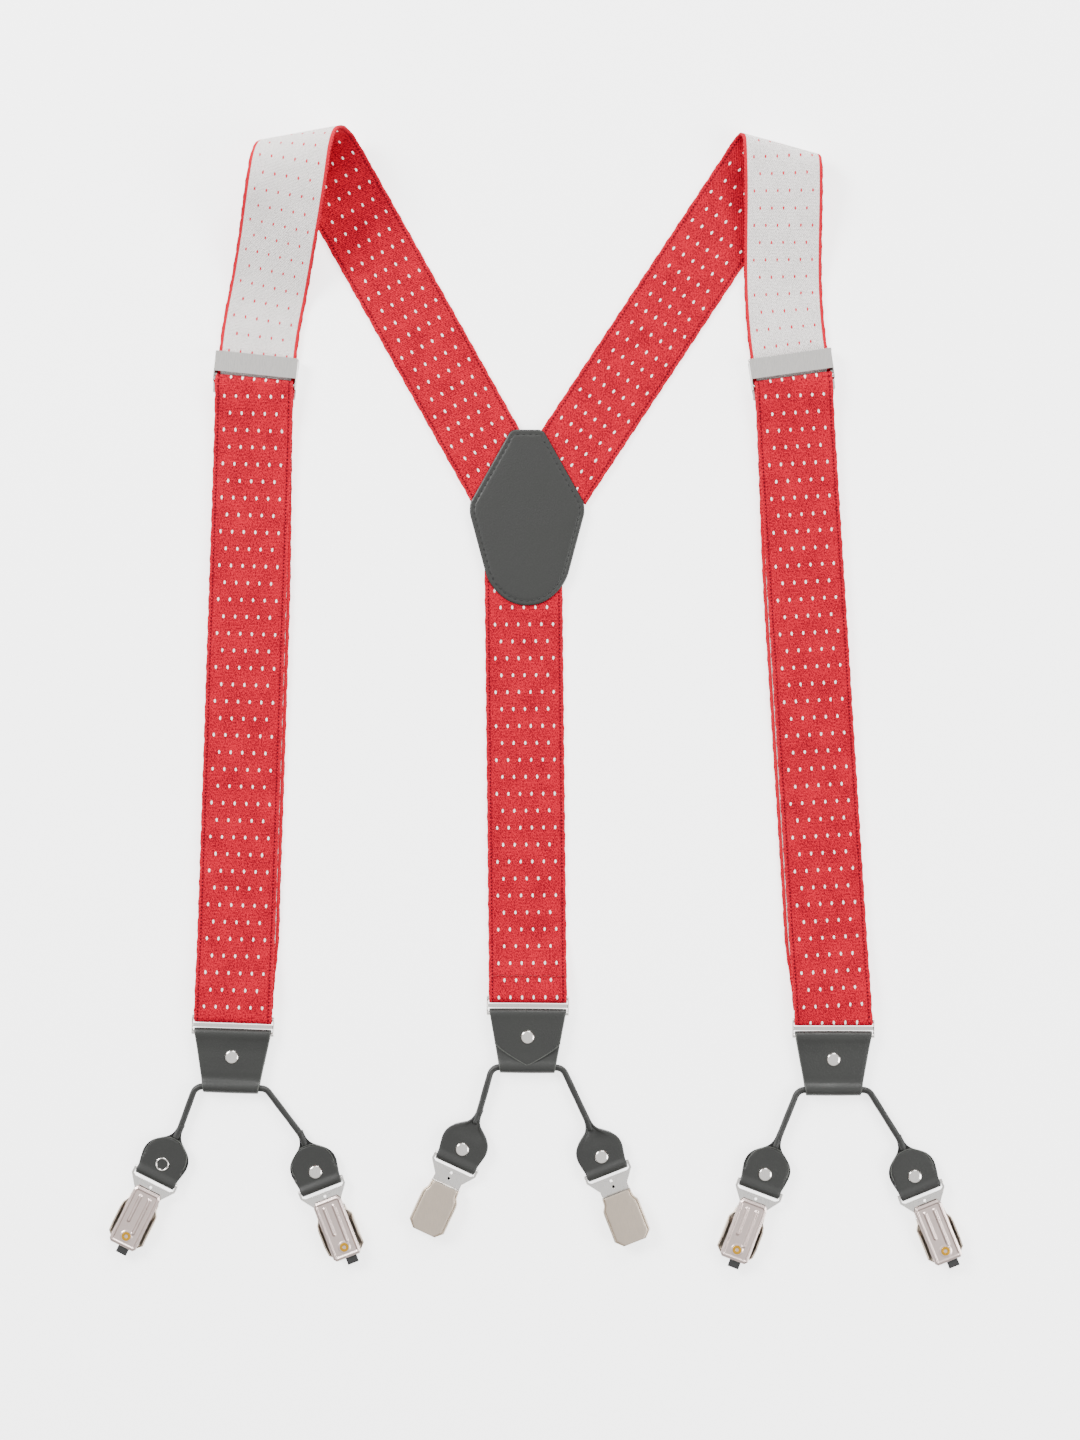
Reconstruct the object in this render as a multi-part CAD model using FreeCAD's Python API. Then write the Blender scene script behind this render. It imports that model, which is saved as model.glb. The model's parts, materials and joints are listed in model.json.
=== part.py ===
import FreeCAD, Part
import math
import os

from FreeCAD import Placement, Rotation, Vector

# Y-back suspenders, lying flat with the two front straps folded over at the shoulders.
# Millimetres, +Z up. The origin is the centre of the back patch's underside.
# Headings are degrees clockwise from +Y, as on a map.

# ---- webbing ----
WEB_WIDTH = 35.0
WEB_THICK = 1.2
WEB_FLOOR_GAP = 0.3         # its slight waviness, under it where it lies flat
BAR_CLEARANCE = 0.08        # webbing to the bar it is folded round
LAYER_GAP = 0.1             # between two layers of webbing, or webbing and plate

# ---- leather ----
LEATHER = 1.1
PATCH_WIDTH = 51.3
PATCH_LENGTH = 78.8
PATCH_LEATHER = 1.2
TAB_FOOT_WIDTH = 24.5
TAB_LENGTH = 29.0
TAB_RIVET_DROP = 12.7       # below the tab's top edge
FLAP_STRAIGHT = 14.8        # top edge to where the pointed flap begins to narrow
FLAP_POINT = 25.4           # top edge to the flap's point

# ---- rolled cord and its tongues ----
CORD_DIAMETER = 2.9
CORD_FIT = 0.05             # radial play in the tab's lower fold
CORD_BEND = 4.5
CORD_OUT = 3.55             # from the tab's side to the cord's corner
NECK_BEND = 18.0
TONGUE_LENGTH = 24.0        # bail bar to where the cord begins
TONGUE_FOOT = 9.6           # half width at the bail bar
TONGUE_HALF = 10.7          # half width at the widest
TONGUE_THICK = 2.8
TONGUE_RIVET = 6.4          # bail bar to rivet

# ---- metal ----
BAR_RADIUS = 1.0
BAR_FIT = 0.06
RING_SIDE_GAP = 0.3         # ring's side bar to the webbing
RING_RIB = 1.6
RING_GAP = 0.4              # free space each side of the ring's middle rib
RIVET_RADIUS = 3.15
RIVET_SHANK = 1.2
RIVET_CAP = 0.85

# ---- adjuster, measured from the middle of its flap ----
SLIDER_SIDE_GAP = 0.6       # webbing to the side flange
SLIDER_LENGTH = 18.4
SLIDER_TOP = 4.6
SLIDER_RUN_IN = 6.6         # webbing above the flap's middle that already lies level
SLIDER_PLATE = 0.8
SLIDER_WALL = 0.8
SLIDER_FLANGE_RISE = 0.9    # top of the flanges over the bar
SLIDER_BAR_RADIUS = 0.8
SLIDER_BAR_DROP = 7.6       # middle of the flap to the webbing bar
SLIDER_TAIL_GAP = 0.22      # between the sewn end under the bar and the strap below it
SLIDER_FLANGE_INSET = 0.1   # flange to the edge of the face plate
FLAP_LENGTH = 9.0
FLAP_INSET = 0.5            # flap to the edge of the face plate
FLAP_THICK = 0.8
FLAP_HINGE_Y = 3.8
FLAP_EAR_RADIUS = 0.85
FLAP_PIN_RADIUS = 0.5
FLAP_TEETH = 11
FLAP_TOOTH_DEPTH = 1.4
FLAP_GAP = 0.1              # flap over the flanges
PIN_FIT = 0.06

# ---- clip, measured from its bail bar with the outer side towards +Z ----
BAIL_SIDE = 1.15            # bail bar beyond the tongue
BAIL_PLATE_Z = (-0.9, -0.2)
BAIL_SLOT_GAP = 0.44        # tongue's fold to the foot of the slot
NECK_SIDE_GAP = 1.2         # neck, and jaw, to the cover's side walls
TAIL_INSET = 1.7            # tail to the side of the jaw
TRUNNION_Y = -11.9
TRUNNION_Z = 0.6
TRUNNION_RADIUS = 0.8
JAW_PIN_Y = -19.0
JAW_PIN_Z = -0.55
JAW_PIN_RADIUS = 0.7
COVER_WIDTH = 17.0
COVER_TOP = -11.3
COVER_FOOT = -34.3
COVER_PLATE = 0.8
COVER_FACE = 2.9            # outer face
COVER_CORNER = 3.0
COVER_WALL_FOOT = -1.9
JAW_TOP = -6.6
JAW_PLATE = 0.7
JAW_RIB = 0.4
PAD_INSET = 1.0             # pad to the side of the jaw
PAD_TAB = 3.3               # how far the pad stands out below the jaw
PAD_TAB_WIDTH = 5.0
PAD_TAB_SHIFT = -1.2
PAD_TOP = 0.9
EYELET_UP = 4.9             # above the clip's foot
EYELET_RADIUS = 2.0
EYELET_SHANK = 1.2
EYELET_BORE = 0.8
EYELET_FIT = 0.02

# ---- layout: plan positions and headings of straps, adjusters and ends ----
PATCH_TOP = PATCH_LENGTH / 2
STRAP_Z_IN_PATCH = PATCH_LEATHER + WEB_THICK / 2
PATCH_SHOULDER = (PATCH_WIDTH / 2 * 0.33, PATCH_TOP - 2.3)
PATCH_HIP_TOP = (PATCH_WIDTH / 2 - 0.3, 7.0)
# Edge says where an arm's middle crosses the patch's slanted edge, as a share from shoulder to
# hip, and past how far beyond that edge the arm's length is measured from.
ARMS = {
    "left": dict(edge=0.397, past=-1.56, heading=-29.3, length=151.4, fold_radius=15.0, front_heading=188.5),
    "right": dict(edge=0.474, past=1.15, heading=33.5, length=165.5, fold_radius=5.5, front_heading=177.5),
}
ARM_INSIDE_PATCH = 10.0
ARM_OUT = 10.5              # from the arm's start to where it is clear of the patch
ARM_DROP = 30.0             # and the length over which it comes down to the floor
ARM_MITRE_X = 1.3           # the two arms meet on this line under the patch
FRONT_SPLIT = 0.12          # share of the front band that is sewn into the shoulder fold
FRONT_LEVEL = 0.75          # share of the front band beyond which it lies level
LOOP_LEVEL = 0.45           # share of a loop over which it stays at the adjuster's height
SLIDERS = {
    "left": dict(centre=(-121.2, 68.2), heading=185.9),
    "right": dict(centre=(118.1, 68.7), heading=171.9),
}
# Side says which way the outer face looks: 1 up, -1 down.
ENDS = {
    "left": dict(bar=(-131.6, -224.2), heading=182.0, side=-1, legs=(
        dict(bar=(-166.1, -295.2), heading=206.5), dict(bar=(-92.4, -299.0), heading=158.7))),
    "right": dict(bar=(137.2, -225.3), heading=180.0, side=-1, legs=(
        dict(bar=(104.3, -300.1), heading=200.8), dict(bar=(176.0, -300.9), heading=157.8))),
    "rear": dict(bar=(0.4, -215.2), heading=180.5, side=1, legs=(
        dict(bar=(-31.7, -288.7), heading=205.0), dict(bar=(35.7, -292.2), heading=158.5))),
}
REAR_TOP = (-1.8, -8.0)     # inner end of the rear strap, under the patch
LOOP_SIDE_STEP = {"left": 1.6, "right": -1.8}   # sideways shift of a loop's lower layer

WEB_Z = WEB_FLOOR_GAP + WEB_THICK / 2
HINGE_Z = COVER_FACE        # every bar, channel and trunnion line of the ends: the clips lie on their faces
RING_HALF = WEB_WIDTH / 2 + RING_SIDE_GAP + BAR_RADIUS      # to the middle of the ring's side bars
TAB_TOP_WIDTH = WEB_WIDTH
CORD_CORNER = TAB_FOOT_WIDTH / 2 + CORD_OUT
BAR_TO_BAR = (WEB_THICK + BAR_CLEARANCE + LEATHER + BAR_FIT + 2 * BAR_RADIUS
              + 2 * RING_GAP + RING_RIB)
TAB_TOP_RADIUS = BAR_RADIUS + BAR_FIT + LEATHER
CORD_HOLE = CORD_DIAMETER / 2 + CORD_FIT
TAB_FOOT_RADIUS = CORD_HOLE + LEATHER
CORD_DROP = TAB_LENGTH - TAB_TOP_RADIUS - TAB_FOOT_RADIUS    # ring's lower bar to the cord
TAB_OUTER = LEATHER + 0.9   # outer face of the flap over the tab's middle
WEB_Z_IN_SLIDER = SLIDER_PLATE + LAYER_GAP + WEB_THICK / 2
SLIDER_WIDTH = WEB_WIDTH + 2 * (SLIDER_SIDE_GAP + SLIDER_WALL + SLIDER_FLANGE_INSET)
SLIDER_BAR_Z = (WEB_Z_IN_SLIDER + WEB_THICK / 2 + SLIDER_TAIL_GAP + WEB_THICK + BAR_CLEARANCE
                + SLIDER_BAR_RADIUS)
SLIDER_HEIGHT = SLIDER_BAR_Z + SLIDER_FLANGE_RISE
FLAP_HINGE_Z = SLIDER_BAR_Z
FLAP_WIDTH = SLIDER_WIDTH - 2 * FLAP_INSET
TONGUE_FOLD = BAR_RADIUS + BAR_FIT + LEATHER
BAIL_HALF = TONGUE_FOOT + BAIL_SIDE
JAW_HALF = COVER_WIDTH / 2 - COVER_PLATE - NECK_SIDE_GAP
NECK_HALF = JAW_HALF
TAIL_HALF = JAW_HALF - TAIL_INSET
PAD_HALF = JAW_HALF - PAD_INSET
JAW_FACE = JAW_RIB - HINGE_Z                                # outer face of the jaw's plate
EYELET_Y = COVER_FOOT + EYELET_UP
FOLD_STEPS = 14
UP = Vector(0, 0, 1)


def ahead(heading):
    """Unit vector along a heading."""
    return Vector(math.sin(math.radians(heading)), math.cos(math.radians(heading)), 0)


def right_of(heading):
    """Unit vector to the right of someone who walks along a heading."""
    return Vector(math.cos(math.radians(heading)), -math.sin(math.radians(heading)), 0)


def end_place(point, heading, side=1):
    """Placement whose local -Y runs along the heading, turned over where side is -1."""
    turn = Rotation(UP, 180 - heading)
    if side < 0:
        turn = turn * Rotation(Vector(0, 1, 0), 180)
    return Placement(Vector(point[0], point[1], HINGE_Z), turn)


def placed(shape, placement):
    moved = shape.copy()
    moved.Placement = placement.multiply(moved.Placement)
    return moved


def box(x0, x1, y0, y1, z0, z1):
    return Part.makeBox(x1 - x0, y1 - y0, z1 - z0, Vector(x0, y0, z0))


def rod(radius, half, y, z):
    """Round bar along X."""
    return Part.makeCylinder(radius, 2 * half, Vector(-half, y, z), Vector(1, 0, 0))


def bar_between(radius, x0, x1, y, z):
    """Round bar along X between two places."""
    return Part.makeCylinder(radius, x1 - x0, Vector(x0, y, z), Vector(1, 0, 0))


def post(radius, x, y, z0, z1):
    return Part.makeCylinder(radius, z1 - z0, Vector(x, y, z0), UP)


def plate(edges, z0, z1):
    """Flat piece with an outline of edges in the XY plane."""
    wire = Part.Wire(Part.__sortEdges__(edges))
    wire.translate(Vector(0, 0, z0))
    return Part.Face(wire).extrude(Vector(0, 0, z1 - z0))


def polygon(points):
    """Edges of a closed polygon of (x, y) points."""
    corners = [Vector(x, y, 0) for x, y in points]
    return [Part.LineSegment(a, b).toShape() for a, b in zip(corners, corners[1:] + corners[:1])]


def arc(a, b, c):
    return Part.Arc(*[Vector(x, y, 0) for x, y in (a, b, c)]).toShape()


def line(a, b):
    return Part.LineSegment(Vector(a[0], a[1], 0), Vector(b[0], b[1], 0)).toShape()


def mirrored_outline(right_side):
    """Closed outline from the points and arcs of its right half, top to foot."""
    edges = []
    for piece in right_side:
        edges.append(arc(*piece) if len(piece) == 3 else line(*piece))
        left = [(-x, y) for x, y in piece]
        edges.append(arc(*left) if len(left) == 3 else line(*left))
    return edges


# ---- webbing ----

def station(point, across, along, half=WEB_WIDTH / 2):
    """One cross-section of the webbing: its middle, its half width and its upward normal."""
    return point, across * half, across.cross(along).normalize()


def webbing(stations, thick=WEB_THICK):
    """Solid band through a list of cross-sections."""
    wires = []
    for point, half, normal in stations:
        lift = normal * (thick / 2)
        corners = [point - half - lift, point + half - lift, point + half + lift, point - half + lift]
        wires.append(Part.makePolygon(corners + corners[:1]))
    return Part.makeLoft(wires, True, True)


def ease(t):
    """0 to 1 with level ends."""
    t = min(max(t, 0.0), 1.0)
    return t * t * (3 - 2 * t)


def at_height(xy, z):
    return Vector(xy.x, xy.y, z)


def arm_start(arm):
    """Where the arm's length is measured from, near the patch's slanted edge."""
    side = math.copysign(1, arm["heading"])
    share = arm["edge"]
    x = side * (PATCH_SHOULDER[0] + (PATCH_HIP_TOP[0] - PATCH_SHOULDER[0]) * share)
    y = PATCH_SHOULDER[1] + (PATCH_HIP_TOP[1] - PATCH_SHOULDER[1]) * share
    return Vector(x, y, 0) + ahead(arm["heading"]) * arm["past"]


def arm_stations(arm):
    """From under the patch along the arm to where the shoulder fold begins."""
    d = ahead(arm["heading"])
    across = right_of(arm["heading"])
    start = arm_start(arm)
    stations = []
    distances = [-ARM_INSIDE_PATCH] + [ARM_OUT + ARM_DROP * share for share in (0, 0.17, 0.33, 0.53, 0.73, 1)]
    for s in distances:
        drop = ease((s - ARM_OUT) / ARM_DROP)
        z = STRAP_Z_IN_PATCH + (WEB_Z - STRAP_Z_IN_PATCH) * drop
        stations.append(station(at_height(start + d * s, z), across, d))
    return stations


def fold_frame(arm):
    """Heading across the fold, skew of the strap to it, and the point where the fold begins."""
    normal_heading = (arm["heading"] + arm["front_heading"] - 180) / 2
    skew = math.radians(arm["heading"] - normal_heading)
    start = arm_start(arm) + ahead(arm["heading"]) * arm["length"]
    return normal_heading, skew, at_height(start, WEB_Z)


def fold_stations(arm):
    """Half turn round a cylinder of the fold's radius; a skewed strap goes round it as a helix."""
    heading, skew, start = fold_frame(arm)
    n, across, radius = ahead(heading), right_of(heading), arm["fold_radius"]
    stations = []
    for i in range(FOLD_STEPS + 1):
        turn = math.pi * i / FOLD_STEPS
        point = (start + across * (radius * turn * math.tan(skew)) + n * (radius * math.sin(turn))
                 + UP * (radius * (1 - math.cos(turn))))
        along = n * math.cos(turn) + UP * math.sin(turn)
        stations.append(station(point, across, along, WEB_WIDTH / 2 / math.cos(skew)))
    return stations


def front_path(side):
    """Middle line of the front band: level at the fold's top, level again at the adjuster."""
    arm, slider = ARMS[side], SLIDERS[side]
    a = fold_stations(arm)[-1][0]
    b = Vector(slider["centre"][0], slider["centre"][1], 0) - ahead(slider["heading"]) * SLIDER_RUN_IN
    b = at_height(b, WEB_Z_IN_SLIDER)
    reach = at_height(b - a, 0).Length / 3
    return a, a + ahead(arm["front_heading"]) * reach, b - ahead(slider["heading"]) * reach, b


def front_stations(side, first, last, count):
    """Cross-sections of the front band between two shares of its length."""
    a, p, q, b = front_path(side)
    stations = []
    for i in range(count + 1):
        t = first + (last - first) * i / count
        u = 1 - t
        point = a * u ** 3 + p * (3 * u * u * t) + q * (3 * u * t * t) + b * t ** 3
        along = (p - a) * (u * u) + (q - p) * (2 * u * t) + (b - q) * (t * t)
        along.z = 0
        along.normalize()
        fall = min(t / FRONT_LEVEL, 1.0)
        z = a.z + (b.z - a.z) * ease(fall)
        slope = (b.z - a.z) * 6 * fall * (1 - fall) / (FRONT_LEVEL * 3 * reach_of(side))
        across = Vector(-along.y, along.x, 0)
        stations.append(station(at_height(point, z), across, (along + UP * slope).normalize()))
    return stations


def reach_of(side):
    a, p, q, b = front_path(side)
    return at_height(p - a, 0).Length


def make_strap(side):
    """Arm, shoulder fold and the first of the front band."""
    arm = ARMS[side]
    solid = webbing(arm_stations(arm) + fold_stations(arm) + front_stations(side, 0, FRONT_SPLIT, 2)[1:])
    keep_left = side == "left"
    reach = 400.0
    x0 = ARM_MITRE_X if keep_left else ARM_MITRE_X - reach
    cut = box(x0, x0 + reach, -PATCH_TOP, PATCH_TOP, -1, STRAP_Z_IN_PATCH + 2 * WEB_THICK)
    return solid.cut(cut)


def make_front_band(side):
    """The front band from the shoulder to just below the adjuster, inner face up."""
    slider = SLIDERS[side]
    stations = front_stations(side, FRONT_SPLIT, 1, 12)
    point, half, normal = stations[-1]
    stations.append((point + ahead(slider["heading"]) * SLIDER_RUN_IN, half, normal))
    return webbing(stations)


def bar_turn(bar, down, across, wrap, start, steps):
    """Cross-sections of a half turn round a bar, from below it (start -1) or from above it (start 1)."""
    stations = []
    for i in range(steps + 1):
        turn = math.pi * i / steps
        outward = down * (-start * math.sin(turn)) + UP * (start * math.cos(turn))
        along = down * (-start * math.cos(turn)) - UP * (start * math.sin(turn))
        stations.append(station(bar + outward * wrap, across, along))
    return stations


def make_loop(side):
    """Down from inside the adjuster, round the ring's upper bar and back to the adjuster's bar."""
    slider, end = SLIDERS[side], ENDS[side]
    top = Vector(slider["centre"][0], slider["centre"][1], 0)
    ring = Vector(end["bar"][0], end["bar"][1], 0)
    bar = top + ahead(slider["heading"]) * SLIDER_BAR_DROP
    run = ring - bar
    run_heading = math.degrees(math.atan2(run.x, run.y)) % 360
    wrap = BAR_RADIUS + BAR_CLEARANCE + WEB_THICK / 2
    slider_wrap = SLIDER_BAR_RADIUS + BAR_CLEARANCE + WEB_THICK / 2
    step = LOOP_SIDE_STEP[side]
    raised = WEB_Z_IN_SLIDER - WEB_Z
    upper_z = WEB_Z + WEB_THICK + LAYER_GAP

    def layer(t, z, shift=0.0, way=1):
        """A cross-section at share t of the run from the adjuster's bar to the ring."""
        heading = slider["heading"] + (run_heading - slider["heading"]) * ease(t * 6)
        heading += (end["heading"] - heading) * ease((t - 0.88) / 0.1)
        across = right_of(heading) * -1
        return station(at_height(bar + run * t, z) + across * shift, across, ahead(heading) * way)

    def lift(t):
        """Extra height, so that the adjuster's plate can slide under the lower layer."""
        return raised * (1 - ease((t - LOOP_LEVEL) * 8))

    entry = layer(0, WEB_Z_IN_SLIDER)
    lower = [(at_height(top, WEB_Z_IN_SLIDER), entry[1], entry[2]), layer(0.02, WEB_Z_IN_SLIDER)]
    shares = (0.08, 0.16, 0.3, 0.45, 0.6, 0.86)
    lower += [layer(t, WEB_Z + lift(t), step * ease((t - 0.03) * 3)) for t in shares]
    lower += [layer(0.95, HINGE_Z - wrap, step * 0.2), layer(0.985, HINGE_Z - wrap)]
    down, across = ahead(end["heading"]), right_of(end["heading"]) * -1
    ring_turn = bar_turn(at_height(ring, HINGE_Z), down, across, wrap, -1, 8)
    upper = [layer(t, z, way=-1) for t, z in (
        (0.985, HINGE_Z + wrap), (0.955, HINGE_Z + wrap), (0.9, upper_z + 0.8), (0.7, upper_z),
        (0.6, upper_z + lift(0.6)), (0.45, upper_z + lift(0.45)), (0.12, upper_z + raised + 0.1),
        (0.06, upper_z + raised + 0.9), (0.03, SLIDER_BAR_Z + slider_wrap - 0.6))]
    bar_end = bar_turn(at_height(bar, SLIDER_BAR_Z), ahead(slider["heading"]),
                       right_of(slider["heading"]) * -1,
                       slider_wrap, 1, 6)
    tail = [layer(0.034, SLIDER_BAR_Z - slider_wrap + 0.5)]
    return webbing(lower + ring_turn + upper + bar_end + tail)


def make_rear_strap():
    """From under the patch over the rear ring's bar, with its sewn end turned back underneath."""
    end = ENDS["rear"]
    ring = Vector(end["bar"][0], end["bar"][1], 0)
    top = Vector(REAR_TOP[0], REAR_TOP[1], 0)
    run = ring - top
    length = run.Length
    run_heading = math.degrees(math.atan2(run.x, run.y)) % 360
    wrap = BAR_RADIUS + BAR_CLEARANCE + WEB_THICK / 2
    out = PATCH_TOP + REAR_TOP[1] + 0.5

    def layer(s, z, way=1):
        """A cross-section at a distance s from the strap's inner end."""
        heading = run_heading + (end["heading"] - run_heading) * ease((s - length + 40) / 20)
        return station(at_height(top + run * (s / length), z), right_of(heading) * -1, ahead(heading) * way)

    stations = [layer(s, z) for s, z in (
        (0, STRAP_Z_IN_PATCH), (out, STRAP_Z_IN_PATCH), (out + 5, STRAP_Z_IN_PATCH - 0.25),
        (out + 11, WEB_Z + 0.25), (out + 17, WEB_Z), (length - 40, WEB_Z), (length - 27, WEB_Z + 0.1),
        (length - 17, WEB_Z + WEB_THICK + 0.3), (length - 8, HINGE_Z + wrap - 0.6),
        (length - 2, HINGE_Z + wrap))]
    down, across = ahead(end["heading"]), right_of(end["heading"]) * -1
    stations += bar_turn(at_height(ring, HINGE_Z), down * -1, across, wrap, 1, 8)
    stations += [layer(length - 6, HINGE_Z - wrap, -1), layer(length - 13, WEB_Z, -1)]
    return webbing(stations)


# ---- patch ----

def patch_outline():
    """Shield with a short flat top and a round foot."""
    half, top = PATCH_WIDTH / 2, PATCH_LENGTH / 2
    shoulder = PATCH_SHOULDER
    flat = (4.4, top)
    foot_side = (12.7, 5.3 - top)
    waist = (18.9, 15.6 - top)
    hip = (half, 1.5)
    hip_top = PATCH_HIP_TOP
    return mirrored_outline([
        ((0, top), flat), (flat, (flat[0] + 2.6, top - 0.6), shoulder), (shoulder, hip_top),
        (hip_top, (half + 0.05, 4.2), hip), (hip, waist), (waist, (16.3, 9.6 - top), foot_side),
        (foot_side, (6.5, 1.2 - top), (0, -top)),
    ])


def make_patch(z0):
    return plate(patch_outline(), z0, z0 + PATCH_LEATHER)


# ---- adjuster: local frame at the plate's middle on the floor, -Y towards the ring ----

def slider_place(side):
    slider = SLIDERS[side]
    place = end_place(slider["centre"], slider["heading"])
    place.Base.z = 0
    return place


def make_adjuster_frame():
    """Face plate, two side flanges with ears for the flap's pin, and the webbing bar."""
    half = SLIDER_WIDTH / 2
    face = box(-half, half, SLIDER_TOP - SLIDER_LENGTH, SLIDER_TOP, 0, SLIDER_PLATE)
    corners = [e for e in face.Edges if e.BoundBox.ZLength > SLIDER_PLATE * 0.9]
    shape = face.makeFillet(1.5, corners)
    for sign in (-1, 1):
        outside = half - SLIDER_FLANGE_INSET
        x0, x1 = sorted((sign * outside, sign * (outside - SLIDER_WALL)))
        ear = bar_between(FLAP_EAR_RADIUS, x0, x1, FLAP_HINGE_Y, FLAP_HINGE_Z)
        wall = box(x0, x1, -SLIDER_BAR_DROP - 1.6, FLAP_HINGE_Y, 0, SLIDER_HEIGHT)
        shape = shape.fuse(wall).fuse(ear)
    shape = shape.cut(rod(FLAP_PIN_RADIUS + PIN_FIT, half + 1, FLAP_HINGE_Y, FLAP_HINGE_Z))
    return shape.fuse(rod(SLIDER_BAR_RADIUS, half - 0.5, -SLIDER_BAR_DROP, SLIDER_BAR_Z)).removeSplitter()


def make_adjuster_flap():
    """Polished flap above the flanges, with its hinge pin and a row of grip teeth."""
    half = FLAP_WIDTH / 2
    under = SLIDER_HEIGHT + FLAP_GAP
    top_edge = FLAP_HINGE_Y + 0.7
    shape = box(-half, half, top_edge - FLAP_LENGTH, top_edge, under, under + FLAP_THICK)
    shape = shape.fuse(rod(FLAP_PIN_RADIUS, SLIDER_WIDTH / 2 - 0.15, FLAP_HINGE_Y, FLAP_HINGE_Z))
    web = WEB_WIDTH / 2 - 0.2
    shape = shape.fuse(box(-web, web, FLAP_HINGE_Y - 0.5, FLAP_HINGE_Y + 0.5, FLAP_HINGE_Z, under + 0.1))
    pitch = 2 * web / FLAP_TEETH
    for i in range(FLAP_TEETH):
        x = -web + pitch * (i + 0.5)
        shape = shape.fuse(box(x - pitch * 0.3, x + pitch * 0.3, FLAP_HINGE_Y - 1.0, FLAP_HINGE_Y - 0.3,
                               FLAP_HINGE_Z - FLAP_TOOTH_DEPTH, under + 0.1))
    return shape.removeSplitter()


# ---- ends: local frame on the ring's upper bar, -Y towards the clips, outer side +Z ----

def make_ring():
    shape = rod(BAR_RADIUS, RING_HALF, 0, 0).fuse(rod(BAR_RADIUS, RING_HALF, -BAR_TO_BAR, 0))
    for x in (-RING_HALF, RING_HALF):
        side_bar = Part.makeCylinder(BAR_RADIUS, BAR_TO_BAR, Vector(x, -BAR_TO_BAR, 0), Vector(0, 1, 0))
        shape = shape.fuse(side_bar)
        shape = shape.fuse(Part.makeSphere(BAR_RADIUS, Vector(x, 0, 0)))
        shape = shape.fuse(Part.makeSphere(BAR_RADIUS, Vector(x, -BAR_TO_BAR, 0)))
    middle = -(BAR_RADIUS + BAR_CLEARANCE + WEB_THICK + RING_GAP + RING_RIB / 2)
    rib = box(-RING_HALF, RING_HALF, middle - RING_RIB / 2, middle + RING_RIB / 2, -0.5, 0.5)
    return shape.fuse(rib).removeSplitter()


def tab_half_width(y):
    """Half width of the tab at a distance y above the ring's lower bar."""
    share = (TAB_TOP_RADIUS - y) / TAB_LENGTH
    return (TAB_TOP_WIDTH + (TAB_FOOT_WIDTH - TAB_TOP_WIDTH) * share) / 2


def make_tab():
    """Leather strip folded round the ring and round the cord, its pointed end on the outside."""
    lower, cord = -BAR_TO_BAR, -BAR_TO_BAR - CORD_DROP
    half = TAB_TOP_WIDTH
    foot_z = TAB_FOOT_RADIUS * 0.99
    side = [(lower, -TAB_TOP_RADIUS), (lower - 7, -LEATHER), (cord + 7, -LEATHER), (cord + 0.3, -foot_z),
            (cord + 0.3, foot_z), (cord + 6, LEATHER), (cord + 9, TAB_OUTER), (lower - 3, TAB_OUTER),
            (lower, TAB_TOP_RADIUS)]
    points = [Vector(-half, y, z) for y, z in side]
    body = Part.Face(Part.makePolygon(points + points[:1])).extrude(Vector(2 * half, 0, 0))
    body = body.fuse(rod(TAB_TOP_RADIUS, half, lower, 0)).fuse(rod(TAB_FOOT_RADIUS, half, cord, 0))
    top, foot = lower + TAB_TOP_RADIUS, cord - TAB_FOOT_RADIUS
    outline = polygon([(-TAB_TOP_WIDTH / 2, top), (TAB_TOP_WIDTH / 2, top),
                       (TAB_FOOT_WIDTH / 2, foot), (-TAB_FOOT_WIDTH / 2, foot)])
    body = body.common(plate(outline, -4, 4))
    shoulder, point = top - FLAP_STRAIGHT, top - FLAP_POINT
    wide = tab_half_width(shoulder - lower)
    beside = [(-wide - 3, shoulder), (0, point), (wide + 3, shoulder), (half, shoulder), (half, foot - 1),
              (-half, foot - 1), (-half, shoulder)]
    around = plate(polygon(beside), LEATHER, LEATHER + 1.9)
    body = body.cut(around.cut(rod(TAB_FOOT_RADIUS, half, cord, 0)))
    body = body.cut(rod(BAR_RADIUS + BAR_FIT, half, lower, 0)).cut(rod(CORD_HOLE, half, cord, 0))
    rivet_y = top - TAB_RIVET_DROP
    return body.cut(post(RIVET_SHANK, 0, rivet_y, -4, 4)).removeSplitter()


def rivet(x, y, low, high):
    """Shank with a domed cap on each face."""
    shape = post(RIVET_SHANK, x, y, low, high)
    for z, sign in ((high, 1), (low, -1)):
        sphere = (RIVET_RADIUS ** 2 + RIVET_CAP ** 2) / (2 * RIVET_CAP)
        dome = Part.makeSphere(sphere, Vector(x, y, z + sign * (RIVET_CAP - sphere)))
        slab = post(RIVET_RADIUS + 1, x, y, min(z, z + sign * RIVET_CAP), max(z, z + sign * RIVET_CAP))
        shape = shape.fuse(dome.common(slab))
    return shape


def make_tab_rivet():
    return rivet(0, -BAR_TO_BAR + TAB_TOP_RADIUS - TAB_RIVET_DROP, -LEATHER, TAB_OUTER)


# ---- cord with its tongues, in the frame of the whole object ----

def leg_place(leg, side=1):
    return end_place(leg["bar"], leg["heading"], side)


def rounded_path(points, radii):
    """Straight runs joined by tangent arcs."""
    edges, at = [], points[0]
    for a, b, c, radius in zip(points, points[1:], points[2:], radii):
        u, v = (a - b).normalize(), (c - b).normalize()
        half = u.getAngle(v) / 2
        cut = radius / math.tan(half)
        first, last = b + u * cut, b + v * cut
        middle = b + (u + v).normalize() * (radius / math.sin(half) - radius)
        edges += [Part.LineSegment(at, first).toShape(), Part.Arc(first, middle, last).toShape()]
        at = last
    edges.append(Part.LineSegment(at, points[-1]).toShape())
    return Part.Wire(edges)


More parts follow.
